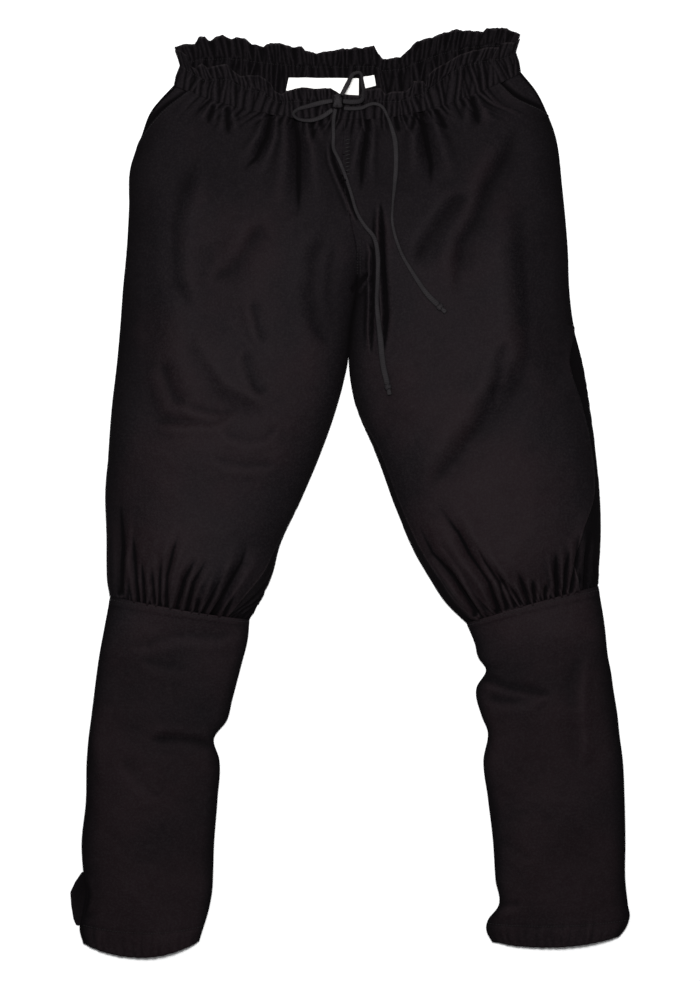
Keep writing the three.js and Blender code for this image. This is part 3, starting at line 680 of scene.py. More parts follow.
def leg_panel(name, rows, places, angles, pitch, front, folds, gathered, seed):
    """A panel of a leg between two angles, with its folds and gathers, as a thin shell. Where a
    seam isn't gathered the cloth lies over it, turned under and felled."""
    first, last = angles
    between = first[:, None] + (last - first)[:, None] * np.linspace(0, 1, 200)
    widest = lengths_along(on_leg(rows, between)[0], 1)[:, -1].max()
    angle = even_angles(rows, first, last, math.ceil(widest / pitch) + 1)
    plain, roundness = on_leg(rows, angle)
    across = lengths_along(plain, 1)
    width = across[:, -1:]
    share = across / width
    from_top = places[:, None] + np.zeros_like(across)
    from_foot = places[-1] - from_top
    x, y = plain[..., 0], plain[..., 1]
    shows = np.sin(angle) >= 0
    loose = eased(roundness / 0.55)
    front_height = -fold_depth(x, y, folds)
    for high, size, rumple_seed in FRONT_RUMPLES:
        front_height += high * rumple(x, y, size, rumple_seed)
    high, size, rumple_seed = BACK_RUMPLE
    back_height = -np.abs(fold_depth(x, y, BACK_FOLDS)) - high * np.abs(rumple(x, y, size, rumple_seed))
    height = np.where(shows, front_height, back_height) * loose
    gathering = np.zeros_like(height)
    if gathered:
        drawn = waist_pleats(x[:1], -from_top, front)
        drawn = drawn - 0.45 * WAIST_DEEP * np.exp(-((from_top / 24) ** 2))
        drawn = drawn * eased((width - across) / 34)
        pitch_mm, deep, reach = gathered
        sewn = gathers(share * width[-1, 0], from_foot, width[-1, 0], pitch_mm, deep, reach, seed)
        sewn = sewn - 0.5 * deep * np.exp(-((from_foot / reach) ** 2))
        creases = -fold_depth(x, y, WAIST_FOLDS + KNEE_FOLDS, sewn=True)
        strip = gathers(across, from_foot, width[-1, 0], *STRIP_GATHERS)
        strip = KNEE_STRIP * eased((STRIP_TOP - y) / 60) * strip
        creases -= fold_depth(x, y, TIGHT_CREASES)
        gathering += np.where(shows, drawn + sewn + creases, -np.abs(drawn) - np.abs(sewn)) * loose
        gathering -= 0 if front else np.where(shows, strip, 0)
        height += gathering
        height -= np.where(shows, SEAM_TUCK * eased(1 - from_foot / TUCK_REACH), 0)
        pocket = eased((np.pi - last) * 8)[:, None] if front else 0
        height += POCKET_LIFT * pocket * np.exp(-(((width - across) / 9) ** 2))
    else:
        height += np.where(shows, FELL_HEIGHT * eased((9 - from_top) / 2.5), 0)
        puckers = gathers(
            share * width[-1, 0], from_foot, width[-1, 0], HEM_PITCH, HEM_PUCKER, HEM_DEPTH, seed
        )
        groove = np.exp(-(((from_foot - HEM_DEPTH) / 1.6) ** 2))
        height += np.where(shows, puckers - HEM_GROOVE * groove, 0)
    if not front:
        height -= np.where(shows, UNDER_SINK * loose, 0)
    normals = face_normals(plain, 1 if front else -1)
    from_inseam = across if front else width - across
    push = normals.copy()
    push[..., :2] *= eased(from_inseam / INSEAM_HOLD)[..., None]
    outer = plain + push * height[..., None]
    outer[..., 2] = np.maximum(outer[..., 2], 0)
    lowest = np.min(neighbours(height, INSIDE_STEP), axis=0)
    inner = plain + normals * (lowest - CLOTH)[..., None]
    inner[..., 2] = np.maximum(inner[..., 2], 0.6 * CLOTH)
    normals = face_normals(outer, 1 if front else -1)
    edge = np.minimum(across, width - across)
    rubbed = 0.15 + 0.45 * eased((150 - y) / 80)
    # Higher cloth is lighter, partly wear and partly painted highlight, and lower cloth darker with painted
    # shade; the edges at the seams are rubbed lighter.
    wear_and_painted_light = np.clip(height / CREST_HEIGHT, -1, 1) * HEIGHT_WEAR_AND_PAINTED_LIGHT + rubbed * np.exp(-((edge / EDGE_WEAR) ** 2))
    # Painted shade in the valleys of the gathers and creases, and wear with a painted highlight on their
    # crests; the free folds take a share of it.
    wear_and_painted_light += crest_wear_and_valley_shade(gathering, *CREST_AND_VALLEY_REACH)
    wear_and_painted_light += FREE_FOLD_SHARE * crest_wear_and_valley_shade(height - gathering, *CREST_AND_VALLEY_REACH)
    # Painted shade where the leg turns down at its sides, and over the whole back panel.
    wear_and_painted_light -= SIDE_PAINTED_SHADE * eased(1 - roundness / SIDE_FROM) + (0 if front else BACK_PAINTED_SHADE)
    # Painted shade in the crease where the two fronts meet at the crotch seam.
    crotch = eased((CROTCH_TOP - y) / 14) * eased((y - CROTCH_FOOT) / 12)
    wear_and_painted_light -= CROTCH_PAINTED_SHADE * crotch * np.exp(-((from_inseam / CROTCH_WIDTH) ** 2))
    on_calf = eased((CALF_TOP - y) / 60)
    # The middle of each front is lighter, partly wear and partly a painted highlight where the cloth faces
    # up, and darker towards its edges with painted shade.
    if front:
        middle = np.sin(np.pi * share) ** 1.6 - MIDDLE_LEVEL
        wear_and_painted_light += MIDDLE_WEAR_AND_HIGHLIGHT * middle * eased((300 - y) / 140) * (1 - 0.7 * on_calf)
    # Painted shade darkens the cloth towards the waist and over the calves.
    wear_and_painted_light -= WAIST_PAINTED_SHADE * eased((y - 250) / 130) + CALF_PAINTED_SHADE * on_calf
    faces[name] = (outer, normals, across, from_top)
    uv = np.stack([across - width / 2, -from_top], -1)
    return shell(f"{name}_cloth", outer, inner, uv, np.clip(wear_and_painted_light, -1, 1), INSIDE_STEP)


def seam_angles(rows):
    """The inseam, the front's outer edge and the side seam, as angles for each section."""
    return np.arccos(rows[:, 10]), np.pi - np.arccos(rows[:, 8]), np.pi - np.arccos(rows[:, 9])


KNEE_GATHERS = (6, 2.4, 18)
THIGH_CUTS = {"front": (0.30, 0.63, 0.166), "back": (0.31, 0.60, 0.170)}
THIGH_SEEDS = {"right": 20, "left": 40}
for side, table_rows in THIGH_ROWS.items():
    rows, places = smooth_rows(table_rows, ROW_PITCH, FINER)
    inseam, edge, _ = seam_angles(rows)
    name = f"thigh_front_{side}"
    cloth = leg_panel(
        name, rows, places, (inseam, edge), FRONT_PITCH, True, THIGH_FOLDS, KNEE_GATHERS, THIGH_SEEDS[side]
    )
    dress(cloth, black_cotton, "black_cotton", name)
    width, length, area = THIGH_CUTS["front"]
    rows, places = smooth_rows(table_rows, BACK_PITCH, FINER)
    inseam, _, seam = seam_angles(rows)
    name = f"thigh_back_{side}"
    angles = (seam, 2 * np.pi + inseam)
    cloth = leg_panel(
        name, rows, places, angles, BACK_PITCH, False, THIGH_FOLDS, KNEE_GATHERS, THIGH_SEEDS[side] + 5
    )
    dress(cloth, black_cotton, "black_cotton", name)
    width, length, area = THIGH_CUTS["back"]

# Pocket facings: the cloth that shows inside each slanted pocket opening, from under the front's
# cut edge to the side seam. It is sewn to the back and lies below the front.
FACING_DEPTH = 8
FACING_REACH = 6
FACING_SHADE = (5.5, 6)
FACING_COVER = 0.16
FACING_ROWS = 3
for side, table_rows in THIGH_ROWS.items():
    rows, places = smooth_rows(table_rows, ROW_PITCH, FINER)
    middles = [((row[0] + row[2]) / 2, (row[1] + row[3]) / 2) for row in table_rows[: FACING_ROWS + 1]]
    length = sum(math.dist(a, b) for a, b in zip(middles, middles[1:]))
    kept = places <= length
    rows, places = rows[kept], places[kept]
    edge = seam_angles(rows)[1]
    angle = even_angles(rows, edge - FACING_COVER, np.full(len(rows), np.pi), 34)
    plain, roundness = on_leg(rows, angle)
    across = lengths_along(plain, 1)
    shown_from = np.array([np.interp(*each) for each in zip(edge, angle, across)])[:, None]
    away = np.maximum(0, across - shown_from)
    normals = face_normals(plain, 1)
    sunk = 0.8 + FACING_DEPTH * np.exp(-((away / FACING_REACH) ** 2)) * eased(roundness / 0.35)
    outer = plain - normals * sunk[..., None]
    outer += normals * (0.5 * rumple(plain[..., 0], plain[..., 1], 18, 8))[..., None]
    normals = face_normals(outer, 1)
    uv = np.stack([across, -places[:, None] + np.zeros_like(across)], -1)
    name = f"pocket_facing_{side}"
    # Painted shade: the facing is darkened in the gap beside the front's cut edge, widest halfway along it.
    gap = FACING_SHADE[0] + FACING_SHADE[1] * np.sin(np.pi * places[:, None] / length)
    wear_and_painted_light = -1.3 * np.exp(-((away / gap) ** 4)) - 0.1
    cloth = shell(f"{name}_cloth", outer, outer - normals * 0.8 * CLOTH, uv, np.maximum(wear_and_painted_light, -1))
    dress(cloth, black_cotton, "black_cotton", name)

# Calves: a narrow front and back from each knee seam down to the hem, which is turned up and sewn.
# A row is a section as on the thighs, with its seams at its two ends.
CALF_ROWS = {
    "right": [
        (-278, -122, -117, -149, 2, 18),
        (-284, -154, -119, -171, 2, 16),
        (-291, -192, -126, -199, 0, 15),
        (-297, -238, -137, -241, 0, 15),
        (-300, -262, -143, -264, 0, 15),
        (-303, -285, -158, -285, 0, 14),
        (-305, -310, -152, -309, 0, 14),
        (-306, -357, -154, -357, 0, 14),
        (-311, -409, -158, -409, 0, 14),
        (-309, -440, -159, -440, 0, 13),
        (-306, -462, -160, -461, 0, 13),
        (-310, -487, -165, -487, 3, 12),
        (-313, -509, -172, -510, 12, 12),
        (-309, -523, -175, -520, 17, 11),
    ],
    "left": [
        (288, -111, 136, -153, -2, 18),
        (295, -154, 145, -175, -2, 16),
        (299, -191, 150, -193, 0, 15),
        (302, -206, 158, -205, 0, 15),
        (305, -227, 147, -226, 0, 15),
        (310, -259, 153, -259, 0, 15),
        (312, -279, 160, -277, 0, 14),
        (316, -310, 155, -310, 0, 14),
        (318, -353, 160, -353, 0, 14),
        (319, -403, 166, -403, 0, 14),
        (319, -449, 169, -449, 0, 13),
        (322, -478, 172, -480, 0, 13),
        (324, -492, 160, -496, 3, 12),
        (319, -506, 159, -510, 8, 12),
        (313, -514, 165, -521, 9, 11),
    ],
}
CALF_FOLDS = [
    ([(-262, -176), (-233, -175), (-219, -169), (-198, -164), (-153, -166), (-122, -160)], 7, 1.5),
    ([(-245, -190), (-219, -199), (-185, -203)], 7, 1.0),
    ([(-156, -297), (-179, -289), (-203, -286), (-236, -287)], 7, 2.2),
    ([(-266, -303), (-242, -332), (-212, -356)], 9, 1.2),
    ([(-276, -129), (-298, -241), (-292, -299), (-284, -345)], 9, -2),
    ([(-307, -440), (-301, -454), (-298, -466), (-301, -482), (-306, -492)], 4, -2.2),
    ([(146, -216), (168, -217), (187, -224), (238, -234)], 6, 2.6),
    ([(152, -237), (182, -240), (226, -236)], 7, 1.6),
    ([(172, -400), (215, -428)], 8, 1.0),
    ([(166, -477), (200, -475)], 6, 1.2),
    ([(277, -183), (270, -230), (273, -289), (268, -325)], 9, -2.5),
]
SEAM_LAP = 1.6
CALF_FRONT_PITCH = 1.8
CALF_CUTS = {"front": (0.165, 0.385, 0.060), "back": (0.165, 0.385, 0.060)}
for side, table_rows in CALF_ROWS.items():
    table_rows = np.array([(*row[:5], 0, row[5], 1, 1, 1, 1) for row in table_rows], float)
    down = table_rows[1] - table_rows[0]
    table_rows[0, :4] -= down[:4] * SEAM_LAP / np.hypot(*(down[:2] + down[2:4]) / 2)
    for face, pitch in (("front", CALF_FRONT_PITCH), ("back", CALF_BACK_PITCH)):
        rows, places = smooth_rows(table_rows, pitch)
        inseam, edge, seam = seam_angles(rows)
        angles = (inseam, edge) if face == "front" else (seam, 2 * np.pi + inseam)
        name = f"calf_{face}_{side}"
        cloth = leg_panel(
            name, rows, places, angles, pitch, face == "front", CALF_FOLDS, None, THIGH_SEEDS[side] + 9
        )
        dress(cloth, black_cotton, "black_cotton", name)
        width, length, area = CALF_CUTS[face]

# Vent facing: the narrow underlap that shows beside the right ankle, where the outer seam is left
# open above the hem. It is one layer of the same cotton with its edge turned in.
VENT_LINES = [
    (-441, -309.4, -311.5),
    (-452, -308.1, -319),
    (-464, -307, -324.5),
    (-480, -309.6, -323.5),
    (-495, -311.6, -321),
    (-502, -312.7, -318),
]
VENT_CELLS = 14
VENT_UNDER = 4
vent = np.array(VENT_LINES, float)
down = np.linspace(0, 1, 40)[:, None]
out = np.linspace(0, 1, VENT_CELLS)[None, :]
knots = np.linspace(0, 1, len(vent))
y, seam_x, edge_x = (np.interp(down, knots, vent[:, column]) for column in range(3))
x = seam_x + VENT_UNDER + (edge_x - seam_x - VENT_UNDER) * out
curl = SIDE_HEIGHT - 1.2 - 1.8 * out + 1.3 * np.sin(out * np.pi) * np.sin(down * np.pi * 2.2) ** 2
outer = np.stack([x, y + 0 * out, curl], -1)
inner = outer - face_normals(outer, 1) * CLOTH
uv = np.stack([x, y + 0 * out], -1)
# Painted shade on the underlap, lighter lower down and at its turned edge.
wear_and_painted_light = -0.95 + 0.5 * down**2 + 0.4 * out**8
cloth = shell("vent_facing_right_cloth", outer, inner, uv, wear_and_painted_light)
dress(cloth, black_cotton, "black_cotton", "vent_facing_right")

# Waistband: a casing for the drawstring with a gathered ruffle above it, one strip in front and one
# behind, each folded double and sewn along two lines. Its pleats are uneven and run across it.
FRONT_STITCH = [
    (-197, 495), (-168, 476), (-142, 478), (-122, 467), (-102, 463), (-85, 451), (-58, 452), (-6, 451),
    (58, 452), (87, 462), (104, 476), (128, 492), (151, 498), (174, 502), (198, 510),
]
FRONT_EDGE = [
    (-198, 513), (-189, 506), (-187, 495), (-180, 491), (-171, 496), (-165, 491), (-142, 495), (-136, 488),
    (-127, 481), (-106, 482), (-92, 473), (-87, 463), (-79, 460), (-74, 463), (-56, 468), (-42, 466),
    (-22, 467), (-12, 460), (12, 458), (14, 465), (35, 467), (41, 460), (49, 463), (64, 463), (70, 468),
    (73, 475), (85, 475), (88, 470), (89, 480), (97, 488), (111, 496), (128, 506), (144, 511), (158, 514),
    (173, 515), (174, 520), (190, 521), (201, 530),
]
BACK_STITCH = [
    (-201, 495), (-175, 502), (-148, 504), (-122, 502), (-93, 498), (-52, 494), (-6, 494), (28, 495),
    (37, 490), (58, 491), (78, 499), (104, 509), (135, 516), (162, 519), (176, 519), (201, 511),
]
BACK_EDGE = [
    (-201, 517), (-192, 519), (-180, 520), (-175, 527), (-168, 527), (-164, 523), (-148, 529), (-137, 525),
    (-133, 528), (-122, 526), (-113, 520), (-100, 517), (-92, 520), (-79, 520), (-74, 517), (-56, 517),
    (-52, 512), (-38, 509), (-36, 510), (-9, 514), (12, 515), (28, 517), (32, 510), (37, 502), (58, 505),
    (66, 511), (78, 523), (94, 527), (121, 535), (135, 536), (154, 534), (158, 538), (168, 537), (176, 539),
    (188, 535), (201, 530),
]
BAND_PITCH = 1.25
BAND_STOPS = [0, 0.5, 1, 1.55, 2]
BAND_WIDTH = [1, 0.985, 0.965, 0.98, 0.995]
BAND_STAND = [-0.2, 0.5, -0.2, 0.6, 0.5]
BAND_WALL = [1.0, 3.0, 1.6, 1.3, 1.5]
STITCH_PLEATS = (4.6, 1.6)
RUFFLE_WAVES = (17, 4.4)
RUFFLE_PLEATS = (5.2, 1.9)


def pleats(across, width, pitch, deep, seed, along):
    """Uneven ridges across a strip with sharp valleys between them, which wander as they go."""
    draw = random.Random(seed)
    height = np.zeros_like(across)
    place = -pitch
    while place < width + pitch:
        breadth = pitch * draw.uniform(0.55, 1.6)
        crest = deep * draw.uniform(0.35, 1.15)
        lean = draw.uniform(-0.18, 0.18)
        inside = np.clip((across - place - lean * along) / breadth, 0, 1)
        height = np.maximum(height, crest * np.sin(np.pi * inside) ** 0.75)
        place += breadth * 0.93
    return height


def waistband(name, under, stitch_line, edge_line, seed):
    """The casing and its ruffle from side to side, between the leg's first section and the edge."""
    halves = []
    for side in ("right", "left"):
        section = np.array(THIGH_ROWS[side][:1], float)
        count = 150
        first = np.array([2 * np.pi if under else 0.0])
        last = np.array([np.pi])
        points, roundness = on_leg(section, even_angles(section, first, last, count))
        halves.append((points[0], roundness[0]))
    (right, right_round), (left, left_round) = halves
    seam = np.concatenate([right[:0:-1], left])
    seam_round = np.concatenate([right_round[:0:-1], left_round])
    far = lengths_along(seam[None], 1)[0]
    even = np.linspace(0, far[-1], math.ceil(far[-1] / BAND_PITCH) + 1)
    seam = np.stack([np.interp(even, far, seam[:, axis]) for axis in range(3)], -1)
    seam_round = np.interp(even, far, seam_round)
    level = np.concatenate([np.linspace(0, 1, 24, endpoint=False), np.linspace(1, 2, 19)])[:, None]
    seam_x = seam[None, :, 0]
    x = seam[:, 0] * np.interp(level, BAND_STOPS, BAND_WIDTH)
    stitch = np.interp(x, *zip(*stitch_line))
    edge = np.interp(x, *zip(*edge_line))
    low, high = np.minimum(level, 1), np.maximum(level - 1, 0)
    y = seam[:, 1] - 0.5 + (stitch - seam[:, 1]) * low + (edge - stitch) * high
    plain = np.stack([x, y, seam[:, 2] + 0 * x], -1)
    tall = lengths_along(plain, 0)
    from_stitch = tall - np.stack([np.interp(1, level[:, 0], column) for column in tall.T])[None]
    across = even[None, :] + 0 * x
    strip = even[-1]
    above = eased(from_stitch / 4)
    near = np.exp(-((from_stitch / 5) ** 2))
    flare = np.maximum(from_stitch, 0) / 16
    casing = waist_pleats(seam_x, tall, not under) * (1 - 0.7 * above)
    pinched = pleats(across, strip, *STITCH_PLEATS, seed + 1, from_stitch) * near
    waves = pleats(across, strip, *RUFFLE_WAVES, seed + 2, from_stitch) * flare
    frill = pleats(across, strip, *RUFFLE_PLEATS, seed + 3, from_stitch) * above
    relief = casing + pinched + waves + frill
    groove = 0.5 * np.exp(-((from_stitch / 1.5) ** 2))
    stand = np.interp(level, BAND_STOPS, BAND_STAND)
    wall = np.interp(level, BAND_STOPS, BAND_WALL)
    held = eased(seam_round / 0.5)[None]
    if under:
        low_face = (relief * 0.7) * held
        high_face = low_face + wall - groove * 0.5 + 0.5 * relief * held
        outer = plain + np.stack([0 * x, 0 * x, np.maximum(low_face, 0)], -1)
        inner = plain + np.stack([0 * x, 0 * x, np.maximum(high_face, low_face + 0.8)], -1)
    else:
        lift = (stand + relief - groove - 1.2) * held
        outer = plain + np.stack([0 * x, 0 * x, lift], -1)
        inner = outer - np.stack([0 * x, 0 * x, wall + 0 * x], -1)
    facing = inner if under else outer
    normals = face_normals(facing, 1)
    faces[name] = (facing, normals, across, tall)
    # The ruffle's top rim is lighter, worn and with a painted highlight; the stitch line and the whole back
    # band, which lies under the front, have painted shade; crests and valleys as on the legs.
    rim = np.exp(-(((tall[-1:] - tall) / 1.2) ** 2))
    wear_and_painted_light = crest_wear_and_valley_shade(relief, 2, 0.5) - 0.1 * near + 1.1 * rim - (0.45 if under else 0.15)
    uv = np.stack([across, tall], -1)
    return shell(f"{name}_cloth", outer, inner, uv, np.clip(wear_and_painted_light, -1, 1))


for name, under, stitch_line, edge_line, seed in (
    ("waistband_front", False, FRONT_STITCH, FRONT_EDGE, 101),
    ("waistband_back", True, BACK_STITCH, BACK_EDGE, 131),
):
    cloth = waistband(name, under, stitch_line, edge_line, seed)
    dress(cloth, black_cotton, "black_cotton", name)


def tree_of(*names):
    """What a ray meets of the named pieces."""
    places, polygons = [], []
    for name in names:
        mesh = bpy.data.objects[f"{name}_cloth"].data
        offset = len(places)
        places += [vertex.co / MM for vertex in mesh.vertices]
        polygons += [[offset + corner for corner in face.vertices] for face in mesh.polygons]
    return BVHTree.FromPolygons(places, polygons)


def height_at(tree, x, y):
    """The height of the highest face over a place, and its normal."""
    place, normal, _, _ = tree.ray_cast(Vector((x, y, 200)), Vector((0, 0, -1)))
    return (0.0, Vector((0, 0, 1))) if place is None else (place.z, normal)


# Waist label and size tab: white woven ribbon, bare, with its ends turned in. The label is sewn
# flat to the inside of the back casing, and the small tab beside it.
WAIST_LABEL = [(-71, 481), (10, 480), (10, 461), (-74, 466)]
SIZE_TAB = [(15, 482), (28, 484), (30, 472), (18, 469)]
LABEL_WALL = 0.5
LABEL_CELL = 2.2
white_ribbon, start = new_finish("white_ribbon")
warp, weft = start.cloth_axes()
satin = (warp * 14000.0).sine() * 0.5 + (weft * 9000.0).sine()
dust = start.noise(160.0, 3.0)
ribbed = start.node("ShaderNodeBump", {}, {"Strength": 0.3, "Distance": 0.0002, "Height": satin})
finish_with(
    start,
    Base_Color=start.mix(dust, (0.72, 0.71, 0.68), (0.86, 0.85, 0.83)),
    Roughness=0.55,
    Normal=ribbed,
    Specular_IOR_Level=0.3,
)
inside_back = tree_of("waistband_back", "thigh_back_right", "thigh_back_left")
for name, ring in (("waist_label", WAIST_LABEL), ("size_tab", SIZE_TAB)):
    upper_left, upper_right, lower_right, lower_left = (np.array(corner, float) for corner in ring)
    columns = max(8, round(math.dist(upper_left, upper_right) / LABEL_CELL))
    along = np.linspace(0, 1, columns)[None, :, None]
    down = np.linspace(0, 1, 12)[:, None, None]
    upper = upper_left + (upper_right - upper_left) * along
    lower = lower_left + (lower_right - lower_left) * along
    flat_places = upper + (lower - upper) * down
    heights = np.array([[height_at(inside_back, *place)[0] for place in row] for row in flat_places])
    near = neighbours(heights, 2)
    soft = (np.max(near, axis=0) + np.mean(near, axis=0)) / 2
    soft = np.maximum(soft, heights) + 0.4 + 0.5 * np.sin(along[..., 0] * 9)
    soft = np.maximum(soft, heights + 0.3)
    outer = np.concatenate([flat_places, (soft + LABEL_WALL)[..., None]], -1)
    inner = np.concatenate([flat_places, soft[..., None]], -1)
    ribbon = shell(f"{name}_ribbon", outer, inner, flat_places, np.zeros_like(soft))
    dress(ribbon, white_ribbon, "white_label", name)

# Drawstring: a flat cotton tape folded and stitched, tied in a bow at the centre front. The two
# bow loops stand and lie round the knot, and the two free ends hang down the front, each with a
# small knot at its tip.
LOOP_RIGHT_SIDE = [(-20.6, 452), (-33, 449.5), (-49, 445.5), (-61, 441.5), (-65.5, 436.5), (-60, 431),
                   (-46, 429), (-32, 433.5), (-20.6, 441.5)]
LOOP_LEFT_SIDE = [(-9.2, 458.2), (-3, 470), (4, 482), (12, 483), (14, 471), (15.5, 459), (13, 451.5),
                  (4, 449.8), (-7.4, 450.6)]
END_LONG = [(-17, 442), (-19, 430), (-19, 411), (-19, 397), (-14, 386), (-8, 372), (0, 349), (8, 323),
            (16, 309), (28, 293), (32, 273), (32, 248), (31, 217), (35, 178), (38, 148), (43, 125)]
END_SHORT = [(-6.4, 443.2), (6, 443), (14, 444), (22, 447.5), (29, 448.5), (37, 445), (44, 432), (49, 417),
             (52, 404), (53, 378), (51, 351), (49, 329), (49, 309), (58, 278), (72, 253), (89, 228),
             (101, 216)]
TAPE_HALF_WIDTH = 2.9
TAPE_HALF_WALL = 1.1
TAPE_LOFT = 0.35
TAPE_STEP = 2.0
TAPE_CORNERS = 16
LOOP_LEAST_HEIGHT = 25
black_tape, start = new_finish("black_tape")
warp, weft = start.cloth_axes()
twill = ((warp + weft) * 9000.0).sine() + (weft * 12500.0).sine() * 0.5
body_place = start.node("ShaderNodeTexCoord", {}, {}, "Object")
fuzz = start.noise(600.0, 3.0, body_place)
painted_light_and_wear = start.node("ShaderNodeAttribute", {"attribute_name": "wear_and_painted_light"}, {}, "Fac")
TAPE_DARK = (0.0025, 0.0021, 0.0025)
TAPE_LIGHT = (0.0055, 0.0047, 0.0054)
# A painted highlight on the tape's upper face, broken up by its ribs and patches.
TAPE_TOP_HIGHLIGHT_GREY = (0.0175, 0.0152, 0.0168)
ribs = ((warp * 0.7 + weft) * 2500.0).sine() * 0.25 + 0.6
patches = start.noise(60.0, 2.0, body_place)
tape_dye = start.mix(fuzz, TAPE_DARK, TAPE_LIGHT)
tape_dye = start.mix((painted_light_and_wear * 1.6 * ribs * patches * (fuzz + 0.3)).limited(), tape_dye, TAPE_TOP_HIGHLIGHT_GREY)
twill_relief = twill + fuzz * 2.0
ribbed = start.node("ShaderNodeBump", {}, {"Strength": 0.35, "Distance": 0.0002, "Height": twill_relief})
finish_with(start, Base_Color=tape_dye, Roughness=0.65, Normal=ribbed, Specular_IOR_Level=0.09)


def smooth_route(route, step):
    """Places a step apart on a centripetal curve through a route's points."""
    points = np.array(route, float)
    points = np.concatenate([[2 * points[0] - points[1]], points, [2 * points[-1] - points[-2]]])
    fine = []
    for p0, p1, p2, p3 in zip(points, points[1:], points[2:], points[3:]):
        t0 = 0.0
        t1 = t0 + math.dist(p0, p1) ** 0.5
        t2 = t1 + math.dist(p1, p2) ** 0.5
        t3 = t2 + math.dist(p2, p3) ** 0.5
        for t in np.linspace(t1, t2, 24, endpoint=False):
            a1 = (t1 - t) / (t1 - t0) * p0 + (t - t0) / (t1 - t0) * p1
            a2 = (t2 - t) / (t2 - t1) * p1 + (t - t1) / (t2 - t1) * p2
            a3 = (t3 - t) / (t3 - t2) * p2 + (t - t2) / (t3 - t2) * p3
            b1 = (t2 - t) / (t2 - t0) * a1 + (t - t0) / (t2 - t0) * a2
            b2 = (t3 - t) / (t3 - t1) * a2 + (t - t1) / (t3 - t1) * a3
            fine.append((t2 - t) / (t2 - t1) * b1 + (t - t1) / (t2 - t1) * b2)
    fine = np.array([*fine, points[-2]])
    far = lengths_along(fine[None], 1)[0]
    places = np.linspace(0, far[-1], max(4, round(far[-1] / step)) + 1)
    return np.stack([np.interp(places, far, fine[:, axis]) for axis in range(fine.shape[1])], -1)


def laid_on(tree, route, least=0.0):
    """The middle line of a tape laid along a route on what lies under it."""
    plan = smooth_route(route, TAPE_STEP)
    ways = np.gradient(plan, axis=0)
    ways /= np.linalg.norm(ways, axis=1, keepdims=True)
    aside = np.stack([-ways[:, 1], ways[:, 0]], -1) * TAPE_HALF_WIDTH
    tops = [
        max(least, *(height_at(tree, *(place + part * off))[0] for part in (-1, -0.5, 0, 0.5, 1)))
        for place, off in zip(plan, aside)
    ]
    padded = np.pad(tops, 3, mode="edge")
    high = np.array([padded[i : i + 7].max() for i in range(len(tops))])
    padded = np.pad(high, 3, mode="edge")
    soft = np.array([padded[i : i + 7].mean() for i in range(len(tops))])
    level = np.maximum(soft, tops) + TAPE_LOFT + TAPE_HALF_WALL
    return np.concatenate([plan, level[:, None]], 1)


def tape_rings(line, widths=1.0, walls=1.0, roll=0.0, closed=False, middle=None):
    """Rings of points round a tape's middle line, each with its own width, wall and roll. The flat
    side faces up, or away from the middle of a knot."""
    count = len(line)
    widths, walls, roll = (np.zeros(count) + each for each in (widths, walls, roll))
    ways = np.roll(line, -1, axis=0) - np.roll(line, 1, axis=0) if closed else np.gradient(line, axis=0)
    ways /= np.linalg.norm(ways, axis=1, keepdims=True)
    facing = np.array([0, 0, 1]) if middle is None else line - middle
    aside = np.cross(ways, facing)
    aside /= np.maximum(np.linalg.norm(aside, axis=1, keepdims=True), 1e-6)
    up = np.cross(aside, ways)
    turn = np.linspace(0, 2 * np.pi, TAPE_CORNERS, endpoint=False)
    flat = np.sign(np.cos(turn)) * np.abs(np.cos(turn)) ** 0.55 * TAPE_HALF_WIDTH
    thick = np.sign(np.sin(turn)) * np.abs(np.sin(turn)) ** 0.8 * TAPE_HALF_WALL
    cos, sin = np.cos(roll)[:, None, None], np.sin(roll)[:, None, None]
    side_way = (aside[:, None] * cos + up[:, None] * sin) * (flat * widths[:, None])[..., None]
    up_way = (up[:, None] * cos - aside[:, None] * sin) * (thick * walls[:, None])[..., None]
    return line[:, None] + side_way + up_way


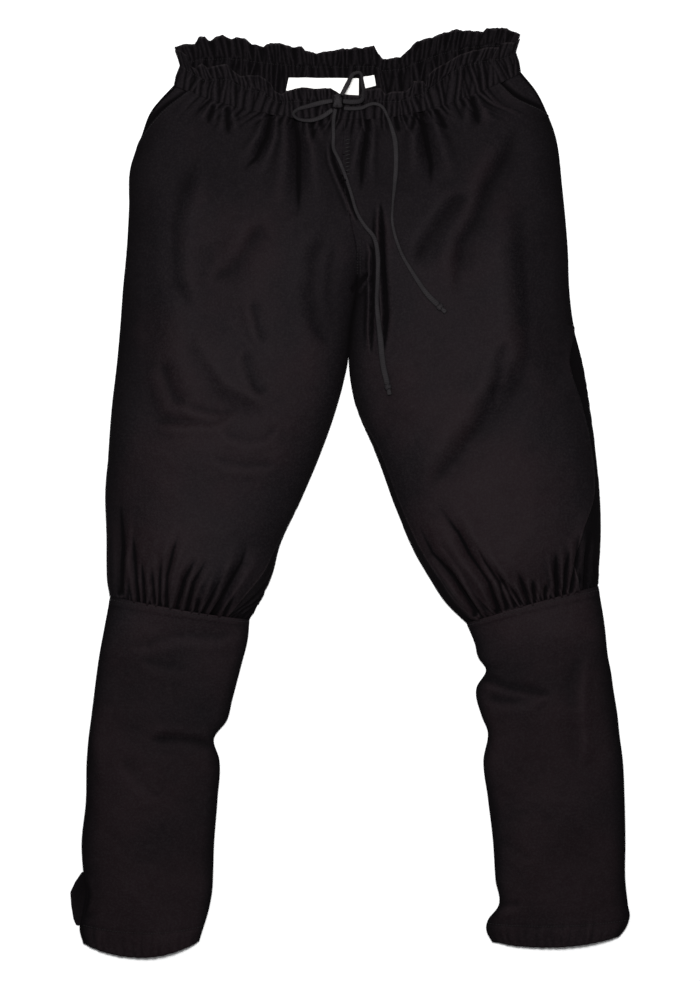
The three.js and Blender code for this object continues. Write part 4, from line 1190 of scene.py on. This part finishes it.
def tape_mesh(name, strands):
    """One object of the given strands of tape, each a stack of rings, open or closed on itself."""
    places, quads, uvs, painted_highlights = [], [], [], []
    turn = np.linspace(0, 2 * np.pi, TAPE_CORNERS, endpoint=False)
    for rings, closed in strands:
        offset = sum(len(part) for part in places)
        count = len(rings)
        index = offset + np.arange(count * TAPE_CORNERS).reshape(count, TAPE_CORNERS)
        after = np.roll(index, -1, axis=0) if closed else index[1:]
        before = index if closed else index[:-1]
        quads.append(np.stack([
            before, np.roll(before, -1, axis=1), np.roll(after, -1, axis=1), after
        ], -1).reshape(-1, 4))
        places.append(rings.reshape(-1, 3))
        far = lengths_along(rings.mean(axis=1)[None], 1)[0]
        round_it = np.abs(np.cos(turn)) * TAPE_HALF_WIDTH * np.sign(np.cos(turn))
        uvs.append(np.stack(np.broadcast_arrays(round_it[None], far[:, None]), -1).reshape(-1, 2))
        # Painted highlight on the tape's flat face that looks up or out, none underneath; the caps at the
        # ends get half.
        face = np.maximum(np.sin(turn), 0) ** 2
        painted_highlights.append(np.broadcast_to(face[None], (count, TAPE_CORNERS)).ravel())
        if not closed:
            for end in (0, -1):
                middle = rings[end].mean(axis=0)
                beyond = middle + (middle - rings[1 if end == 0 else -2].mean(axis=0)) * 0.35
                tip = len(np.concatenate(places))
                places.append(np.concatenate([(rings[end] - middle) * 0.6 + beyond, [beyond]]))
                lip = tip + np.arange(TAPE_CORNERS)
                rim = index[end]
                pairs = (lip, rim) if end == 0 else (rim, lip)
                quads.append(np.stack([
                    pairs[0], np.roll(pairs[0], -1), np.roll(pairs[1], -1), pairs[1]
                ], -1))
                middle_index = np.full(TAPE_CORNERS // 2, tip + TAPE_CORNERS)
                a, b, c = lip[0::2], lip[1::2], np.roll(lip, -2)[0::2]
                cap = np.stack([middle_index, c, b, a] if end == 0 else [middle_index, a, b, c], -1)
                quads.append(cap)
                uvs.append(np.zeros((TAPE_CORNERS + 1, 2)))
                painted_highlights.append(np.full(TAPE_CORNERS + 1, 0.5))
    triangles = halved(np.concatenate(quads))
    return cloth_mesh(name, np.concatenate(places), triangles, np.concatenate(uvs), np.concatenate(painted_highlights))


def knot(name, middle, half_sizes, wraps, tails=()):
    """A tight knot in the tape: a lump with turns of tape over it, each crossing it at an angle in
    plan and off its middle, and what is left of the tape beyond it."""
    long, wide, high = half_sizes
    share = np.linspace(-1, 1, 9)
    lump = np.stack([0 * share, share * wide * 0.9, 0 * share], -1) + middle
    full = np.sqrt(1 - 0.8 * share**2)
    widths, walls = full * long * 0.85 / TAPE_HALF_WIDTH, full * high * 0.8 / TAPE_HALF_WALL
    strands = [(tape_rings(lump, widths, walls), False)]
    turn = np.linspace(0, 2 * np.pi, 40, endpoint=False)
    for angle, off, breadth in wraps:
        way = np.array([math.cos(angle), math.sin(angle), 0])
        beside = np.array([-way[1], way[0], 0]) * off
        reach = math.hypot(way[0] * long, way[1] * wide)
        ring = np.cos(turn)[:, None] * way * reach + np.sin(turn)[:, None] * np.array([0, 0, high])
        rings = tape_rings(ring + beside + middle, breadth, 0.8, 0.0, True, np.array(middle) + beside)
        strands.append((rings, True))
    for tail, breadth in tails:
        tail = np.array(tail, float)
        strands.append((tape_rings(tail, breadth * np.linspace(1, 1.25, len(tail))), False))
    return tape_mesh(name, strands)


def widths_along(share, stops):
    """The tape's width along it, which changes as it twists and spreads."""
    return np.interp(share, *zip(*stops))


ground = tree_of("thigh_front_right", "thigh_front_left", "waistband_front")
END_WIDTHS = {
    "long": [(0, 0.8), (0.35, 0.7), (0.55, 0.95), (0.7, 0.85), (0.85, 1.2), (1, 1.2)],
    "short": [(0, 0.9), (0.2, 0.6), (0.3, 1.05), (0.45, 0.95), (0.55, 0.55), (0.8, 0.8), (1, 1.25)],
}
free_ends = {}
for name, route in (("long", END_LONG), ("short", END_SHORT)):
    line = laid_on(ground, route)
    share = np.linspace(0, 1, len(line))
    roll = 0.2 * np.sin(share * 11 + (0.5 if name == "long" else 2.0)) * eased(share * 8)
    rings = tape_rings(line, widths_along(share, END_WIDTHS[name]), 1.0, roll)
    end = tape_mesh(f"drawstring_end_{name}_tape", [(rings, False)])
    dress(end, black_tape, "black_tape", f"drawstring_end_{name}")
    free_ends[name] = (end, line)
for side, route, least in (("right", LOOP_RIGHT_SIDE, 0), ("left", LOOP_LEFT_SIDE, LOOP_LEAST_HEIGHT)):
    line = laid_on(ground, route, least)
    share = np.linspace(0, 1, len(line))
    roll = 0.5 * np.sin(share * np.pi) * (1 if side == "right" else 1.6)
    rings = tape_rings(line, 0.85 + 0.15 * np.sin(share * 9), 1.0, roll)
    loop = tape_mesh(f"drawstring_loop_{side}_tape", [(rings, False)])
    dress(loop, black_tape, "black_tape", f"drawstring_loop_{side}")

# Knot of the bow and the knots at the tips: the same tape, pulled tight. Each is a lump with two
# turns of tape over it, and a tip leaves a short tail.
KNOT_HALF_SIZES = (6.2, 7.6, 3.6)
KNOT_WRAPS = [(1.9, -0.6, 1.0), (1.2, 1.2, 0.8)]
TIP_HALF_SIZES = (3.4, 3.8, 2.4)
TIP_REACH = 4.6
TIP_TAIL = 4.2
low, high = (np.array(corner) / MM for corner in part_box("drawstring_knot"))
middle = (low + high) / 2
bow_knot = knot("drawstring_knot_tape", middle, KNOT_HALF_SIZES, KNOT_WRAPS)
dress(bow_knot, black_tape, "black_tape", "drawstring_knot")
tips = {}
for name, (end, line) in free_ends.items():
    way = line[-1] - line[-3]
    way[2] = 0
    way /= np.linalg.norm(way)
    middle = line[-1] + way * TIP_REACH * 0.75 + np.array([0, 0, 0.8])
    angle = math.atan2(way[1], way[0])
    start_tail, stop_tail = middle + way * 2, middle + way * (TIP_REACH + TIP_TAIL)
    tail = [start_tail + (stop_tail - start_tail) * part for part in (0, 0.35, 0.7, 1)]
    tips[name] = knot(
        f"drawstring_tip_{name}_tape",
        middle,
        TIP_HALF_SIZES,
        [(angle + 1.25, 0.2, 0.75), (angle - 1.1, 0.4, 0.6)],
        [(tail, 0.8)],
    )
    dress(tips[name], black_tape, "black_tape", f"drawstring_tip_{name}")

# Stitching: black cotton thread, a little greyer than the cloth. Lockstitch rows run
# along the knee seams, hems, pocket edges, centre front and casing, and the fly has a barred tack.
STITCH_LENGTH = 2.4
STITCH_PITCH = 3.2
STITCH_HALF_WIDTH = 0.32
STITCH_PROUD = 0.6
KNEE_STITCH_IN = 3.2
POCKET_STITCH_IN = 1.8
TOPSTITCH_X = (8.5, 12.0)
TOPSTITCH_Y = (290, 250)
CASING_STITCH_ROW = 24
CASING_STITCH_LENGTH = 1.8
POCKET_STITCH_DEPTH = 62
TACK_X = (-7.5, 1.5)
TACK_TOP, TACK_FOOT = 406, 366
TACK_PITCH = 4.4
TACK_BAR, TACK_BAR_PITCH, TACK_THICK = 8.2, 8.8, 2.2
THREAD_LEAN = 0.25
black_thread, start = new_finish("black_thread")
body_place = start.node("ShaderNodeTexCoord", {}, {}, "Object")
strand = start.noise(1500.0, 2.0, body_place)
twisted = start.node("ShaderNodeBump", {}, {"Strength": 0.3, "Distance": 0.0001, "Height": strand})
finish_with(
    start,
    Base_Color=start.mix(strand, (0.005, 0.0045, 0.005), (0.013, 0.0118, 0.0125)),
    Roughness=0.55 + strand * 0.1,
    Normal=twisted,
    Specular_IOR_Level=0.08,
)


def row_across(name, from_start):
    """A line over a panel at a distance down from its top, or up from its foot if below 0."""
    grid, normals, _, from_top = faces[name]
    down = from_top[:, 0]
    place = np.interp(from_start if from_start > 0 else down[-1] + from_start, down, np.arange(len(down)))
    row = min(int(place), len(down) - 2)
    part = place - row
    return grid[row] * (1 - part) + grid[row + 1] * part, normals[row]


def row_down(name, from_start, stop):
    """A line down a panel at a distance from its first edge, or its last if below 0, to a depth."""
    grid, normals, across, from_top = faces[name]
    kept = from_top[:, 0] < stop
    points, ups = [], []
    for line, up, far in zip(grid[kept], normals[kept], across[kept]):
        place = np.interp(from_start if from_start > 0 else far[-1] + from_start, far, np.arange(len(far)))
        column = min(int(place), len(far) - 2)
        part = place - column
        points.append(line[column] * (1 - part) + line[column + 1] * part)
        ups.append(up[column])
    return np.array(points), np.array(ups)


def stitching(name, rows, length=STITCH_LENGTH, pitch=STITCH_PITCH, thick=1.0):
    """One object of all the stitches along rows of points with the cloth's normals."""
    places, triangles = [], []
    for points, ups in rows:
        far = lengths_along(points[None], 1)[0]
        for middle in np.arange(pitch / 2, far[-1] - pitch / 2, pitch):
            stations = [
                np.array([np.interp(middle + off * length, far, points[:, axis]) for axis in range(3)])
                for off in (-0.5, 0, 0.5)
            ]
            up = np.array([np.interp(middle, far, ups[:, axis]) for axis in range(3)])
            if up[2] < 0.15:
                continue
            way = stations[2] - stations[0]
            aside = np.cross(way, up)
            aside *= thick * STITCH_HALF_WIDTH / max(np.linalg.norm(aside), 1e-9)
            first = len(places)
            for point, rise in zip(stations, (0.05, 1, 0.05)):
                lifted = point + up * thick * STITCH_PROUD * (rise - 0.4)
                places += [lifted + aside, lifted + up * 0.3, lifted - aside, lifted - up * 0.3]
            for ring in (0, 4):
                for corner in range(4):
                    a, b = first + ring + corner, first + ring + (corner + 1) % 4
                    triangles += [(a, b, b + 4), (a, b + 4, a + 4)]
            triangles += [(first + 3, first + 2, first + 1), (first + 3, first + 1, first)]
            triangles += [(first + 8, first + 9, first + 10), (first + 8, first + 10, first + 11)]
    places = np.array(places)
    thread = cloth_mesh(name, places, np.array(triangles), places[:, :2], np.zeros(len(places)))
    dress(thread, black_thread, "black_cotton")


for side in ("right", "left"):
    calf, thigh = f"calf_front_{side}", f"thigh_front_{side}"
    stitching(f"knee_stitching_{side}", [row_across(calf, KNEE_STITCH_IN)])
    stitching(f"hem_stitching_{side}", [row_across(calf, -HEM_DEPTH)])
    stitching(f"pocket_stitching_{side}", [row_down(thigh, -POCKET_STITCH_IN, POCKET_STITCH_DEPTH)])


def row_over(points):
    """A row that drops onto the front wherever its points are, and the cloth's normals there."""
    met = [height_at(ground, *point) for point in points]
    return (
        np.array([(*point, height) for point, (height, _) in zip(points, met)]),
        np.array([normal for _, normal in met]),
    )


centre_rows = [row_over([(x, y) for y in np.linspace(*TOPSTITCH_Y, 14)]) for x in TOPSTITCH_X]
stitching("centre_stitching", centre_rows)
casing_rows = []
for name in ("waistband_front", "waistband_back"):
    grid, normals, _, _ = faces[name]
    casing_rows.append((grid[CASING_STITCH_ROW], normals[CASING_STITCH_ROW]))
stitching("casing_stitching", casing_rows, CASING_STITCH_LENGTH)
tack_rows = [
    row_over([(x, y + THREAD_LEAN * (x - TACK_X[0])) for x in np.linspace(*TACK_X, 6)])
    for y in np.arange(TACK_FOOT, TACK_TOP, TACK_PITCH)
]
stitching("fly_tack", tack_rows, TACK_BAR, TACK_BAR_PITCH, TACK_THICK)
